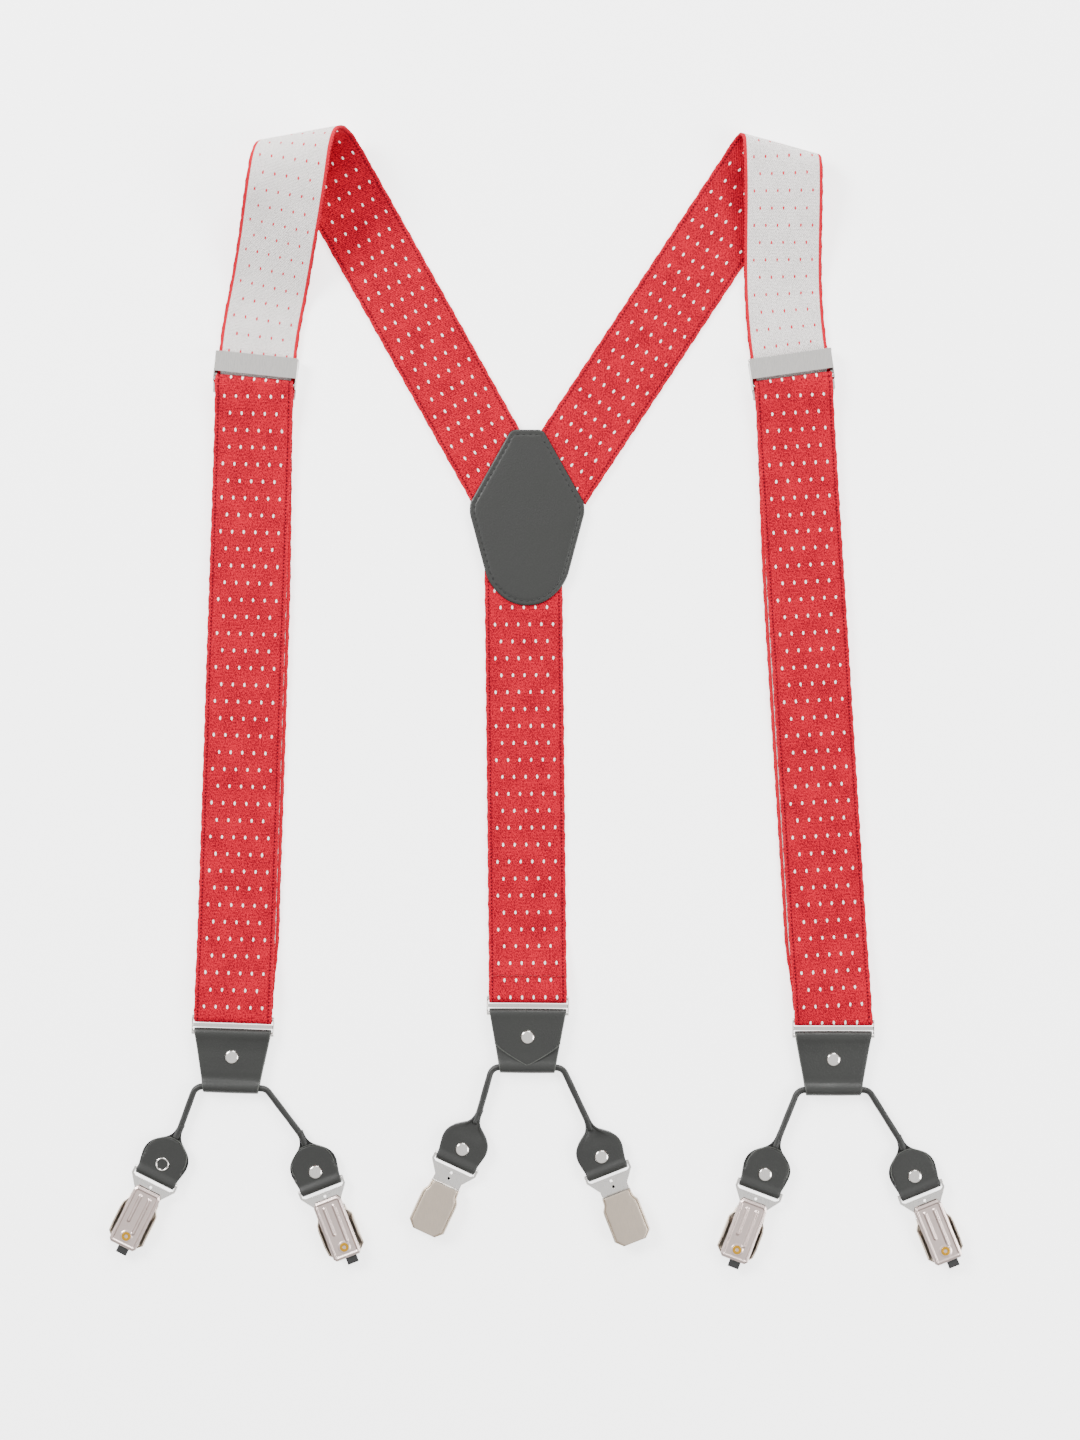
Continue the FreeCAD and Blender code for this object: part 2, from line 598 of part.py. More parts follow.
def make_tongue():
    """Leather doubled over the bail bar, narrowing to the rolled cord."""
    neck = CORD_DIAMETER / 2 + 0.2
    outline = mirrored_outline([
        ((0, TONGUE_LENGTH), (neck, TONGUE_LENGTH)),
        ((neck, TONGUE_LENGTH), (4.2, TONGUE_LENGTH - 5.2)),
        ((4.2, TONGUE_LENGTH - 5.2), (9.0, TONGUE_LENGTH - 9.0), (TONGUE_HALF, 9.0)),
        ((TONGUE_HALF, 9.0), (TONGUE_FOOT, 1.8)),
        ((TONGUE_FOOT, 1.8), (TONGUE_FOOT, 0)),
        ((TONGUE_FOOT, 0), (0, 0)),
    ])
    shape = plate(outline, -TONGUE_THICK / 2, TONGUE_THICK / 2)
    shape = shape.fuse(rod(TONGUE_FOLD, TONGUE_FOOT, 0, 0))
    shape = shape.cut(rod(BAR_RADIUS + BAR_FIT, BAIL_HALF + 2, 0, 0))
    return shape.cut(post(RIVET_SHANK, 0, TONGUE_RIVET, -3, 3)).removeSplitter()


def make_cord(end):
    place = end_place(end["bar"], end["heading"])
    channel = -BAR_TO_BAR - CORD_DROP
    corners = [place.multVec(Vector(x, channel, 0)) for x in (-CORD_CORNER, CORD_CORNER)]
    necks, ends = [], []
    for leg in end["legs"]:
        local = leg_place(leg)
        necks.append(local.multVec(Vector(0, TONGUE_LENGTH, 0)))
        ends.append(local.multVec(Vector(0, TONGUE_LENGTH - 4, 0)))
    points = [ends[0], necks[0], corners[0], corners[1], necks[1], ends[1]]
    path = rounded_path(points, [NECK_BEND, CORD_BEND, CORD_BEND, NECK_BEND])
    start = (points[1] - points[0]).normalize()
    ring = Part.Wire(Part.makeCircle(CORD_DIAMETER / 2, points[0], start))
    tube = path.makePipeShell([ring], True, True)
    section = math.pi * CORD_DIAMETER ** 2 / 4
    print("cord length %.1f mm, volume against section times length %.4f"
          % (path.Length, tube.Volume / (section * path.Length)))
    shape = tube
    for leg in end["legs"]:
        shape = shape.fuse(placed(make_tongue(), leg_place(leg)))
    return shape.removeSplitter()


def make_tongue_rivets(end):
    face = TONGUE_THICK / 2
    return Part.Compound([placed(rivet(0, TONGUE_RIVET, -face, face), leg_place(leg)) for leg in end["legs"]])


# ---- clip: local frame on the bail bar, -Y down the clip, outer side +Z ----

def make_bail():
    """Round bar, bail plate with a slot for the leather, neck, cover trunnions and jaw pin."""
    z0, z1 = BAIL_PLATE_Z
    slot_half = TONGUE_FOOT + 0.1
    outline = [(-BAIL_HALF, 0), (BAIL_HALF, 0), (BAIL_HALF, -2.8), (NECK_HALF, -8.5), (NECK_HALF, -14.2),
               (TAIL_HALF, -14.2), (TAIL_HALF, JAW_PIN_Y - 1), (-TAIL_HALF, JAW_PIN_Y - 1),
               (-TAIL_HALF, -14.2), (-NECK_HALF, -14.2), (-NECK_HALF, -8.5), (-BAIL_HALF, -2.8)]
    shape = plate(polygon(outline), z0, z1)
    slot_foot = -TONGUE_FOLD - BAIL_SLOT_GAP
    slot = polygon([(-slot_half, 0), (slot_half, 0), (slot_half, slot_foot),
                    (slot_half - 1.2, slot_foot - 0.8),
                    (1.2 - slot_half, slot_foot - 0.8), (-slot_half, slot_foot)])
    shape = shape.cut(plate(slot, z0 - 1, z1 + 1))
    for y in (-5.3, -8.1):
        shape = shape.cut(post(0.6, 0, y, z0 - 1, z1 + 1))
    shape = shape.fuse(rod(BAR_RADIUS, BAIL_HALF, 0, 0))
    wall_out = COVER_WIDTH / 2 - 0.2
    shape = shape.fuse(rod(TRUNNION_RADIUS, wall_out, TRUNNION_Y, TRUNNION_Z))
    for x in (-5.0, 5.0):
        shape = shape.fuse(box(x - 1, x + 1, TRUNNION_Y - 0.8, TRUNNION_Y + 0.8, z0 + 0.2, TRUNNION_Z))
    shape = shape.fuse(rod(JAW_PIN_RADIUS, JAW_HALF - 0.1, JAW_PIN_Y, JAW_PIN_Z))
    return shape.removeSplitter()


def make_cover():
    """Front plate with folded sides, clipped foot corners and a gripping lip."""
    half, inner = COVER_WIDTH / 2, COVER_FACE - COVER_PLATE
    c = COVER_CORNER
    brow = COVER_TOP - 1.6
    outline = [(1.2 - half, COVER_TOP), (half - 1.2, COVER_TOP), (half, brow), (half, COVER_FOOT + c),
               (half - c, COVER_FOOT), (c - half, COVER_FOOT), (-half, COVER_FOOT + c), (-half, brow)]
    shape = plate(polygon(outline), inner, COVER_FACE)
    profile = [(TRUNNION_Y + 1.3, TRUNNION_Z - 1.2), (TRUNNION_Y + 1.3, inner + 0.1), (brow, inner + 0.1),
               (COVER_FOOT + c, inner + 0.1), (COVER_FOOT + c, inner - 0.6),
               (COVER_FOOT + 8, COVER_WALL_FOOT),
               (TRUNNION_Y - 2, COVER_WALL_FOOT)]
    for sign in (-1, 1):
        x = sign * half - (COVER_PLATE if sign > 0 else 0)
        points = [Vector(x, y, z) for y, z in profile]
        wall = Part.Face(Part.makePolygon(points + points[:1])).extrude(Vector(COVER_PLATE, 0, 0))
        shape = shape.fuse(wall)
    lip = box(c - half + 0.4, half - c - 0.4, COVER_FOOT, COVER_FOOT + 2.2, inner - 0.7, inner)
    shape = shape.fuse(lip)
    return shape.cut(rod(TRUNNION_RADIUS + BAR_FIT, half + 1, TRUNNION_Y, TRUNNION_Z)).removeSplitter()


def make_jaw():
    """Embossed back plate with two ears round the jaw pin."""
    outer, inner = JAW_FACE, JAW_FACE + JAW_PLATE
    outline = [(-5.2, JAW_TOP), (5.2, JAW_TOP), (JAW_HALF, JAW_TOP - 2), (JAW_HALF, COVER_FOOT + 1.2),
               (JAW_HALF - 1.2, COVER_FOOT), (1.2 - JAW_HALF, COVER_FOOT), (-JAW_HALF, COVER_FOOT + 1.2),
               (-JAW_HALF, JAW_TOP - 2)]
    shape = plate(polygon(outline), outer, inner)
    for x, foot in ((-2.2, -27.0), (2.2, -22.5)):
        shape = shape.fuse(box(x - 0.6, x + 0.6, foot, -10.5, outer - JAW_RIB, outer))
    for x in (-1, 1):
        x0, x1 = sorted((x * (TAIL_HALF + 0.3), x * (JAW_HALF - 0.2)))
        ear = box(x0, x1, JAW_PIN_Y - 1.3, JAW_PIN_Y + 1.3, inner - 0.1, JAW_PIN_Z)
        ear = ear.fuse(bar_between(1.3, x0, x1, JAW_PIN_Y, JAW_PIN_Z))
        shape = shape.fuse(ear)
    shape = shape.cut(rod(JAW_PIN_RADIUS + PIN_FIT, JAW_HALF + 1, JAW_PIN_Y, JAW_PIN_Z))
    return shape.cut(post(EYELET_SHANK + EYELET_FIT, 0, EYELET_Y, -4, 0)).removeSplitter()


def make_pad():
    """Grip pad on the jaw's inner face, with ridges and a tab below the jaw."""
    back = JAW_FACE + JAW_PLATE
    shape = box(-PAD_HALF, PAD_HALF, COVER_FOOT + 0.5, -25.6, back, PAD_TOP - 0.6)
    for i in range(4):
        y = COVER_FOOT + 0.9 + 2.1 * i
        shape = shape.fuse(box(-PAD_HALF, PAD_HALF, y, y + 0.9, PAD_TOP - 0.7, PAD_TOP))
    half = PAD_TAB_WIDTH / 2
    x0, x1 = PAD_TAB_SHIFT - half, PAD_TAB_SHIFT + half
    shape = shape.fuse(box(x0, x1, COVER_FOOT - PAD_TAB, COVER_FOOT + 1, back, back + 1.2))
    return shape.cut(post(EYELET_SHANK + EYELET_FIT, 0, EYELET_Y, -4, PAD_TOP - 0.9)).removeSplitter()


def make_eyelet():
    shape = post(EYELET_RADIUS, 0, EYELET_Y, JAW_FACE - 0.4, JAW_FACE)
    shape = shape.fuse(post(EYELET_SHANK, 0, EYELET_Y, JAW_FACE, PAD_TOP - 0.95))
    return shape.cut(post(EYELET_BORE, 0, EYELET_Y, JAW_FACE - 1, PAD_TOP))


CLIP_PIECES = {
    "bail": make_bail,
    "cover": make_cover,
    "back_jaw": make_jaw,
    "grip_pad": make_pad,
    "eyelet": make_eyelet,
}


def make_all():
    """Every node's shape by name."""
    shapes = {
        "rear_strap": make_rear_strap(),
        "patch_back": make_patch(0),
        "patch_front": make_patch(PATCH_LEATHER + WEB_THICK),
    }
    for side in ("left", "right"):
        place = slider_place(side)
        shapes[side + "_strap"] = make_strap(side)
        shapes[side + "_front_band"] = make_front_band(side)
        shapes[side + "_loop"] = make_loop(side)
        shapes[side + "_adjuster_frame"] = placed(make_adjuster_frame(), place)
        shapes[side + "_adjuster_flap"] = placed(make_adjuster_flap(), place)
    for name, end in ENDS.items():
        place = end_place(end["bar"], end["heading"], end["side"])
        shapes[name + "_ring"] = placed(make_ring(), place)
        shapes[name + "_tab"] = placed(make_tab(), place)
        shapes[name + "_tab_rivet"] = placed(make_tab_rivet(), place)
        shapes[name + "_cord"] = make_cord(end)
        shapes[name + "_tongue_rivets"] = make_tongue_rivets(end)
        for number, leg in enumerate(end["legs"], 1):
            at = leg_place(leg, end["side"])
            for piece, make in CLIP_PIECES.items():
                shapes["%s_%s_%d" % (name, piece, number)] = placed(make(), at)
    return shapes


os.makedirs("parts", exist_ok=True)
for node, shape in make_all().items():
    if not shape.isValid():
        print("not valid:", node)
    shape.exportStep("parts/%s.step" % node)
    print("%-26s solids %d  volume %.1f" % (node, len(shape.Solids), shape.Volume))
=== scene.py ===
import json
import math

import bmesh
import bpy
import numpy as np
from bpy.props import FloatProperty, FloatVectorProperty, PointerProperty
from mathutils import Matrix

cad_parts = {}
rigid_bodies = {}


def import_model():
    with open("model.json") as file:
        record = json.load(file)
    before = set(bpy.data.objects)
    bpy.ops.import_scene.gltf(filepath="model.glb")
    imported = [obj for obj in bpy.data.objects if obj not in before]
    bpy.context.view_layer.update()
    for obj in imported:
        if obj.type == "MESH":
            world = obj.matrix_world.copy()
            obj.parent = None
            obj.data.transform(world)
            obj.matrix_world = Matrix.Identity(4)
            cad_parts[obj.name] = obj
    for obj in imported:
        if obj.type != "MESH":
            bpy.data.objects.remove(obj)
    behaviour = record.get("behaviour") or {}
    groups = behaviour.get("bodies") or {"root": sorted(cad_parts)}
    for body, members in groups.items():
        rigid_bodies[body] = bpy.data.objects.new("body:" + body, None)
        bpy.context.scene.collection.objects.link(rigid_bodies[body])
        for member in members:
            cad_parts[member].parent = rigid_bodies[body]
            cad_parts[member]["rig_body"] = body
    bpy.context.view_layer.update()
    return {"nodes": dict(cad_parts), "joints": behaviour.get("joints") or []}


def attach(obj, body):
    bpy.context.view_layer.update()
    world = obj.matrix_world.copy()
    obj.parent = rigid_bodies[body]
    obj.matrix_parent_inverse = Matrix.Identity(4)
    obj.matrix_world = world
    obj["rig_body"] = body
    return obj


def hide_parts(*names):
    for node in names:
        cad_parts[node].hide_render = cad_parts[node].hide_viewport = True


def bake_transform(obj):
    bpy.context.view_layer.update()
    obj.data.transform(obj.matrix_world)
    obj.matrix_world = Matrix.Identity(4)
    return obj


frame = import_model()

bl_info = {
    "name": "Suspenders",
    "version": (1, 0, 0),
    "blender": (4, 5, 0),
    "location": "3D View > Sidebar > Suspenders",
    "description": "Builds the webbing, leather and metal of a pair of Y-back suspenders",
    "category": "Object",
}

MM = 0.001                  # lengths below are in millimetres; a mesh is made in metres
UP = np.array([0.0, 0.0, 1.0])
SIDES = ("left", "right")
ENDS = {"left": -1, "right": -1, "rear": 1}     # 1 where the outer face looks up, -1 where it looks down
LEGS = (1, 2)

# ---- webbing ----
WEB_Z = 0.9
WEB_Z_IN_PATCH = 1.8
WEB_Z_IN_ADJUSTER = 1.5
LAYER_GAP = 0.1
BAR_CLEARANCE = 0.08
STRAP_STEP = 1.6            # between cross-sections
ARMS = {
    "left": dict(start=(-14.4, 23.8), heading=-29.3, length=151.4, radius=15.0, front_heading=188.5),
    "right": dict(start=(17.1, 23.8), heading=33.5, length=165.5, radius=5.5, front_heading=177.5),
}
ARM_INSIDE_PATCH = 10.0
ARM_OUT = 10.5
ARM_DROP = 30.0
FRONT_LEVEL = 0.75
ADJUSTER_RUN_IN = 6.6
ADJUSTER_BAR_DROP = 7.6
ADJUSTER_BAR_Z = 4.4
ADJUSTER_BAR_RADIUS = 0.8
HINGE_TO_MIDDLE = 3.8       # the flap's hinge line to the adjuster's middle
LOOP_SHIFT = {"left": 1.6, "right": -1.8}
LOOP_LEVEL = 0.45
REAR_TOP = (-1.8, -8.0)
SEAM_DROP = 12.0            # adjuster bar to the seam that sews the turned end down
REAR_SEAM_DROP = 10.0       # the rear ring's bar to its seam
LOOP_END = 14.0             # a ring's bar to where its loop of webbing begins to bend
EDGE_RIPPLE = 0.12
FACE_RIPPLE = 0.05
STITCH_POINTS = 6           # cross-sections of a stitch, and points round each of them
SEAM_POINTS = 40

# ---- leather ----
PATCH_WIDTH = 51.3
PATCH_LENGTH = 78.8
PATCH_LEATHER = 1.2
PATCH_GAP = 1.2             # webbing between the two leathers
STITCH_INSET = 2.1
TAB_LEATHER = 1.1
TAB_LENGTH = 29.0
TAB_FOOT_WIDTH = 24.5
TAB_RIVET_DROP = 12.7
FLAP_STRAIGHT = 14.8
FLAP_POINT = 25.2
BAR_RADIUS = 1.0
BAR_FIT = 0.06
TONGUE_LENGTH = 24.0
TONGUE_RIVET = 6.4
TONGUE_HALF_THICK = 1.4
FLAP_CENTRE = 9.4           # the turned-over flap's round end
FLAP_ROUND = 9.5
CORD_OUT = 3.55
CORD_BEND = 4.5
NECK_BEND = 18.0
CORD_STEP = 0.8             # between cross-sections
CORD_TUCK = 5.0             # how far a cord's ends reach into the tongues
BEAD_RADIUS = 0.24

# ---- clips ----
COVER_HALF = 8.5
COVER_TOP = -11.3
COVER_FOOT = -34.3
COVER_FACE = 2.9
COVER_PLATE = 0.8
JAW_HALF = 6.5
JAW_TOP = -6.6
JAW_FACE = -2.5
JAW_PLATE = 0.7
EYELET_Y = -29.4
SHEET_SHOWN = 0.28          # the jaw's own plate starts this far behind its face
PIN_ZONE = -10.5            # below it a bail is only its pin
COVER_NECK = 6.85           # half width of the cover's narrow top
ADJUSTER_HALF = 18.6
RING_INSIDE = 17.8          # half width of a ring's opening
RIVET_RADIUS = 3.15
RIVET_CAP = 0.85
RIVET_SEGMENTS = 32
SMOOTH_ANGLE = 0.6          # sharper metal edges are eased by a bevel
CREASE_ANGLE = 0.7


def srgb(red, green, blue):
    """Linear colour of a screen colour given from 0 to 255."""
    values = np.array([red, green, blue]) / 255
    linear = np.where(values <= 0.04045, values / 12.92, ((values + 0.055) / 1.055) ** 2.4)
    return tuple(float(v) for v in linear)


class SuspenderSizes(bpy.types.PropertyGroup):
    """Sizes that change how the pieces look"""
    web_width: FloatProperty(
        name="Webbing width", description="Width of the straps",
        default=0.035, unit="LENGTH")
    web_thick: FloatProperty(
        name="Webbing thickness", description="Thickness of one layer", default=0.0012, unit="LENGTH")
    dot_pitch: FloatProperty(
        name="Dot pitch", description="Pin dots, centre to centre across", default=0.0052, unit="LENGTH")
    dot_rows: FloatProperty(
        name="Dot rows", description="Distance between rows of dots", default=0.0076, unit="LENGTH")
    stitch_pitch: FloatProperty(
        name="Stitch pitch", description="Length of a stitch and its gap", default=0.00275, unit="LENGTH")
    cord_diameter: FloatProperty(
        name="Cord diameter", description="Diameter of the rolled leather", default=0.0029, unit="LENGTH")


class SuspenderColours(bpy.types.PropertyGroup):
    """Colours of the materials"""
    red: FloatVectorProperty(
        name="Red yarn", description="Outer face of the webbing",
        subtype="COLOR", default=srgb(186, 0, 36))
    dark_red: FloatVectorProperty(
        name="Dark red yarn", description="Shaded yarn of the webbing",
        subtype="COLOR", default=srgb(108, 0, 18))
    white: FloatVectorProperty(
        name="White yarn", description="Inner face of the webbing",
        subtype="COLOR", default=srgb(240, 236, 233))
    leather: FloatVectorProperty(
        name="Leather", description="Patch, tabs and cords",
        subtype="COLOR", default=srgb(28, 29, 27))
    nickel: FloatVectorProperty(
        name="Satin nickel", description="Clip plates",
        subtype="COLOR", default=srgb(196, 182, 166))
    chrome: FloatVectorProperty(
        name="Chrome", description="Adjusters, rings and bails",
        subtype="COLOR", default=srgb(225, 222, 218))
    brass: FloatVectorProperty(
        name="Brass", description="Eyelets", subtype="COLOR", default=srgb(205, 155, 45))


# ---- shapes ----

def unit(v):
    return v / np.linalg.norm(v, axis=-1, keepdims=True)


def ease(t):
    """0 to 1 with level ends."""
    t = np.clip(t, 0.0, 1.0)
    return t * t * (3 - 2 * t)


def full_turn(count):
    """Angles of points spread round a circle."""
    return np.linspace(0, 2 * np.pi, count, endpoint=False)


def direction(points):
    """Unit vector along a line of points at each of them."""
    return unit(np.gradient(points, axis=0))


def ahead(heading):
    """Unit vector along a heading, in degrees clockwise from +Y."""
    turn = np.radians(heading)
    return np.stack([np.sin(turn), np.cos(turn), np.zeros_like(turn)], axis=-1)


def right_of(heading):
    """Unit vector to the right of a heading."""
    turn = np.radians(heading)
    return np.stack([np.cos(turn), -np.sin(turn), np.zeros_like(turn)], axis=-1)


def at_height(point, z):
    return np.array([point[0], point[1], z])


def through(values, knots, at):
    """Smooth curve through values at their knots: cubics with slopes from both sides."""
    values, knots = np.asarray(values, float), np.asarray(knots, float)
    slopes = np.gradient(values, knots, axis=0)
    i = np.clip(np.searchsorted(knots, at, side="right") - 1, 0, len(knots) - 2)
    width = knots[i + 1] - knots[i]
    t = (at - knots[i]) / width
    if values.ndim > 1:
        t, width = t[:, None], width[:, None]
    start, end = values[i], values[i + 1]
    return (start * (2 * t ** 3 - 3 * t ** 2 + 1) + end * (3 * t ** 2 - 2 * t ** 3)
            + slopes[i] * width * (t ** 3 - 2 * t ** 2 + t) + slopes[i + 1] * width * (t ** 3 - t ** 2))


def lengths(points):
    """Distance along a line of points at each of them."""
    steps = np.linalg.norm(np.diff(points, axis=0), axis=1)
    return np.concatenate([[0], np.cumsum(steps)])


def resample(points, across, step=STRAP_STEP):
    """The same line and its across vectors at even steps."""
    knots = lengths(points)
    count = max(int(knots[-1] / step), 4)
    at = np.linspace(0, knots[-1], count + 1)
    return through(points, knots, at), unit(through(across, knots, at))


def make_object(name, verts, faces, materials, slots=None, uv=None):
    """Object from points in millimetres, with faces turned outwards and smooth."""
    verts = np.asarray(verts, float)
    a, b, c = (verts[[f[i] for f in faces]] for i in (0, 1, 2))
    d = verts[[f[-1] for f in faces]]
    volume = sum(np.einsum("ij,ij->i", a, np.cross(*pair)).sum() for pair in ((b, c), (c, d)))
    if volume < 0:
        faces = [f[::-1] for f in faces]
    mesh = bpy.data.meshes.new(name)
    mesh.from_pydata((verts * MM).tolist(), [], faces)
    mesh.polygons.foreach_set("use_smooth", np.ones(len(faces), bool))
    if slots is not None:
        mesh.polygons.foreach_set("material_index", np.asarray(slots, np.int32))
    if uv is not None:
        layer = mesh.uv_layers.new(name="strap")
        index = np.zeros(len(mesh.loops), np.int32)
        mesh.loops.foreach_get("vertex_index", index)
        layer.data.foreach_set("uv", np.asarray(uv, np.float32)[index].ravel())
    for material in materials:
        mesh.materials.append(material)
    mesh.update()
    obj = bpy.data.objects.new(name, mesh)
    bpy.context.scene.collection.objects.link(obj)
    return obj


def tube_faces(rows, columns):
    """Faces of a closed tube of rings and of its end caps, whose centres are the last two points."""
    i, j = np.meshgrid(np.arange(rows - 1), np.arange(columns), indexing="ij")
    k = (j + 1) % columns
    near, far = i * columns, (i + 1) * columns
    quads = np.stack([near + j, near + k, far + k, far + j], axis=-1)
    around = np.arange(columns)
    after = (around + 1) % columns
    first, last = rows * columns, rows * columns + 1
    low = np.stack([after, around, np.full(columns, first)], axis=-1)
    base = (rows - 1) * columns
    high = np.stack([base + around, base + after, np.full(columns, last)], axis=-1)
    return quads.reshape(-1, 4).tolist() + low.tolist() + high.tolist()


def tube(name, rings, materials, column_slots=None, cap_slot=0, uv=None):
    """Closed solid through rings of points, an array of rows by columns by 3."""
    rows, columns = rings.shape[:2]
    centres = np.stack([rings[0].mean(0), rings[-1].mean(0)])
    verts = np.concatenate([rings.reshape(-1, 3), centres])
    slots = None
    if column_slots is not None:
        slots = np.concatenate([np.tile(column_slots, rows - 1), np.full(2 * columns, cap_slot)])
    if uv is not None:
        ends = np.stack([uv[0].mean(0), uv[-1].mean(0)])
        uv = np.concatenate([uv.reshape(-1, 2), ends])
    return make_object(name, verts, tube_faces(rows, columns), materials, slots, uv)


def band_profile(columns, thick):
    """Cross-section of a flat band: two flat faces and two half-round edges.
    Gives each point's share of the half width, its offset outwards, its height and its face's slot."""
    flat = np.linspace(-1, 1, columns)
    turn = np.radians(np.array([60, 30, 0, -30, -60]))
    r = thick / 2
    side = np.ones(len(turn))
    share = np.concatenate([flat, side, flat[::-1], -side])
    out = np.concatenate([0 * flat, r * np.cos(turn), 0 * flat, -r * np.cos(turn)])
    height = np.concatenate([0 * flat + r, r * np.sin(turn), 0 * flat - r, -r * np.sin(turn)])
    edge = np.full(len(turn) + 1, 2)
    slot = np.concatenate([np.zeros(columns - 1), edge, np.ones(columns - 1), edge])
    return share, out, height, slot.astype(int)


def bar_turn(bar, down, wrap, start, steps=12):
    """Points of a half turn round a bar, from below it (start -1) or from above it (start 1)."""
    turn = np.linspace(0, np.pi, steps + 1)[:, None]
    return bar + wrap * (down * (-start * np.sin(turn)) + UP * (start * np.cos(turn)))


def lathe(name, profile, place, materials):
    """Solid of revolution: a profile of (radius, height) points turned about a local Z axis."""
    turn = full_turn(RIVET_SEGMENTS)
    radius, height = np.array(profile, float).T
    x = radius[:, None] * np.cos(turn)
    y = radius[:, None] * np.sin(turn)
    z = np.broadcast_to(height[:, None], x.shape)
    return tube(name, place(np.stack([x, y, z], axis=-1)), materials)


def between(at, knots, values):
    """Values at distances along a line, straight between its knots, for each column."""
    return np.stack([np.interp(at, knots, column) for column in values.T], axis=-1)


def stitch_row(name, points, across, normal, pitch, material, radius, fill=0.72):
    """Row of stitches along a line: short threads, thick in the middle, that dip at their ends."""
    s, n = lengths(points), STITCH_POINTS
    count = max(int(round(s[-1] / pitch)), 1)
    centres = (np.arange(count) + 0.5) * s[-1] / count
    t = np.linspace(-1, 1, n)
    at = (centres[:, None] + t * pitch * fill / 2).ravel()
    line = between(at, s, points)
    side, lift = unit(between(at, s, across)), unit(between(at, s, normal))
    girth = np.tile(radius * np.sqrt(np.clip(1.02 - t ** 2, 0, 1)), count)
    dip = np.tile(-radius * 0.9 * t ** 4, count)
    turn = full_turn(n)
    rings = (line + lift * dip[:, None])[:, None] + girth[:, None, None] * (
        side[:, None] * np.cos(turn)[:, None] + lift[:, None] * np.sin(turn)[:, None])
    rings = rings.reshape(count, n, n, 3)
    centres = np.stack([rings[:, 0].mean(1), rings[:, -1].mean(1)], axis=1)
    verts = np.concatenate([rings.reshape(count, n * n, 3), centres], axis=1)
    one = tube_faces(n, n)
    faces = [[verts.shape[1] * k + v for v in f] for k in range(count) for f in one]
    return make_object(name, verts.reshape(-1, 3), faces, [material])


# ---- places, from the frame's joints ----

JOINTS = {j["name"]: j for j in frame["joints"]}


def joint_at(name):
    return np.array(JOINTS[name]["pos_m"]) / MM


def local_frame(origin, down, side):
    """Function from local points to the whole object's frame: -Y runs down, +Z is the outer side."""
    y, z = -down, UP * side
    x = np.cross(y, z)

    def place(points):
        points = np.asarray(points, float)
        return origin + points[..., :1] * x + points[..., 1:2] * y + points[..., 2:] * z
    return place


def level(v):
    return unit(np.array([v[0], v[1], 0.0]))


def ring_down(end):
    """Direction from a ring's upper bar to its lower one."""
    return level(joint_at(end + "_tab_hinge") - joint_at(end + "_ring_hinge"))


def channel_y(end):
    """Middle of the cord's channel through a tab, in the frame of the ring's upper bar."""
    return -np.linalg.norm((joint_at(end + "_cord_hinge") - joint_at(end + "_ring_hinge"))[:2])


def end_frame(end, side=None):
    """On a ring's upper bar."""
    return local_frame(joint_at(end + "_ring_hinge"), ring_down(end), side or ENDS[end])


def leg_frame(end, leg, side=None):
    """On a clip's bail bar."""
    bar = joint_at("%s_bail_hinge_%d" % (end, leg))
    down = level(joint_at("%s_cover_hinge_%d" % (end, leg)) - bar)
    return local_frame(bar, down, side or ENDS[end])


def adjuster_place(side):
    """Middle of an adjuster on the floor, and the direction from it towards the ring."""
    hinge = joint_at(side + "_flap_hinge")
    x = -np.array(JOINTS[side + "_flap_hinge"]["axis"])
    down = np.cross(x, UP)
    return at_height(hinge + down * HINGE_TO_MIDDLE, 0), down


def heading_of(v):
    return math.degrees(math.atan2(v[0], v[1])) % 360


# ---- materials ----

def fresh(name):
    """New material with an empty tree."""
    material = bpy.data.materials.new(name)
    material.use_nodes = True
    material.node_tree.nodes.clear()
    return material


def put(tree, kind, inputs=(), **settings):
    """A node with its settings and its inputs, which are values or other nodes' outputs."""
    node = tree.nodes.new("ShaderNode" + kind)
    for name, value in settings.items():
        setattr(node, name, value)
    pairs = inputs.items() if isinstance(inputs, dict) else enumerate(inputs)
    for key, value in pairs:
        if isinstance(value, bpy.types.NodeSocket):
            tree.links.new(value, node.inputs[key])
        else:
            node.inputs[key].default_value = value
    return node


def maths(tree, operation, *inputs):
    return put(tree, "Math", inputs, operation=operation).outputs[0]


def ramp(tree, value, low, high, to_low=0.0, to_high=1.0):
    """Value mapped from one range to another, held at its ends and eased between them."""
    node = put(tree, "MapRange", [value, low, high, to_low, to_high], interpolation_type="SMOOTHSTEP")
    return node.outputs[0]


def wave(tree, along, length):
    """Sine of a distance, with one period in each length."""
    return maths(tree, "SINE", maths(tree, "MULTIPLY", along, 2 * math.pi / length))


def blend_colour(tree, share, a, b):
    """From colour a to colour b by a share."""
    node = put(tree, "Mix", data_type="RGBA")
    for key, value in (("Factor_Float", share), ("A_Color", a), ("B_Color", b)):
        socket = next(i for i in node.inputs if i.identifier == key)
        if isinstance(value, bpy.types.NodeSocket):
            tree.links.new(value, socket)
        else:
            socket.default_value = value if key == "Factor_Float" else (*value[:3], 1.0)
    return next(o for o in node.outputs if o.identifier == "Result_Color")


def noise(tree, vector, scale, detail=2.0, rough=0.5):
    inputs = {"Vector": vector, "Scale": scale, "Detail": detail, "Roughness": rough}
    return put(tree, "TexNoise", inputs).outputs[0]


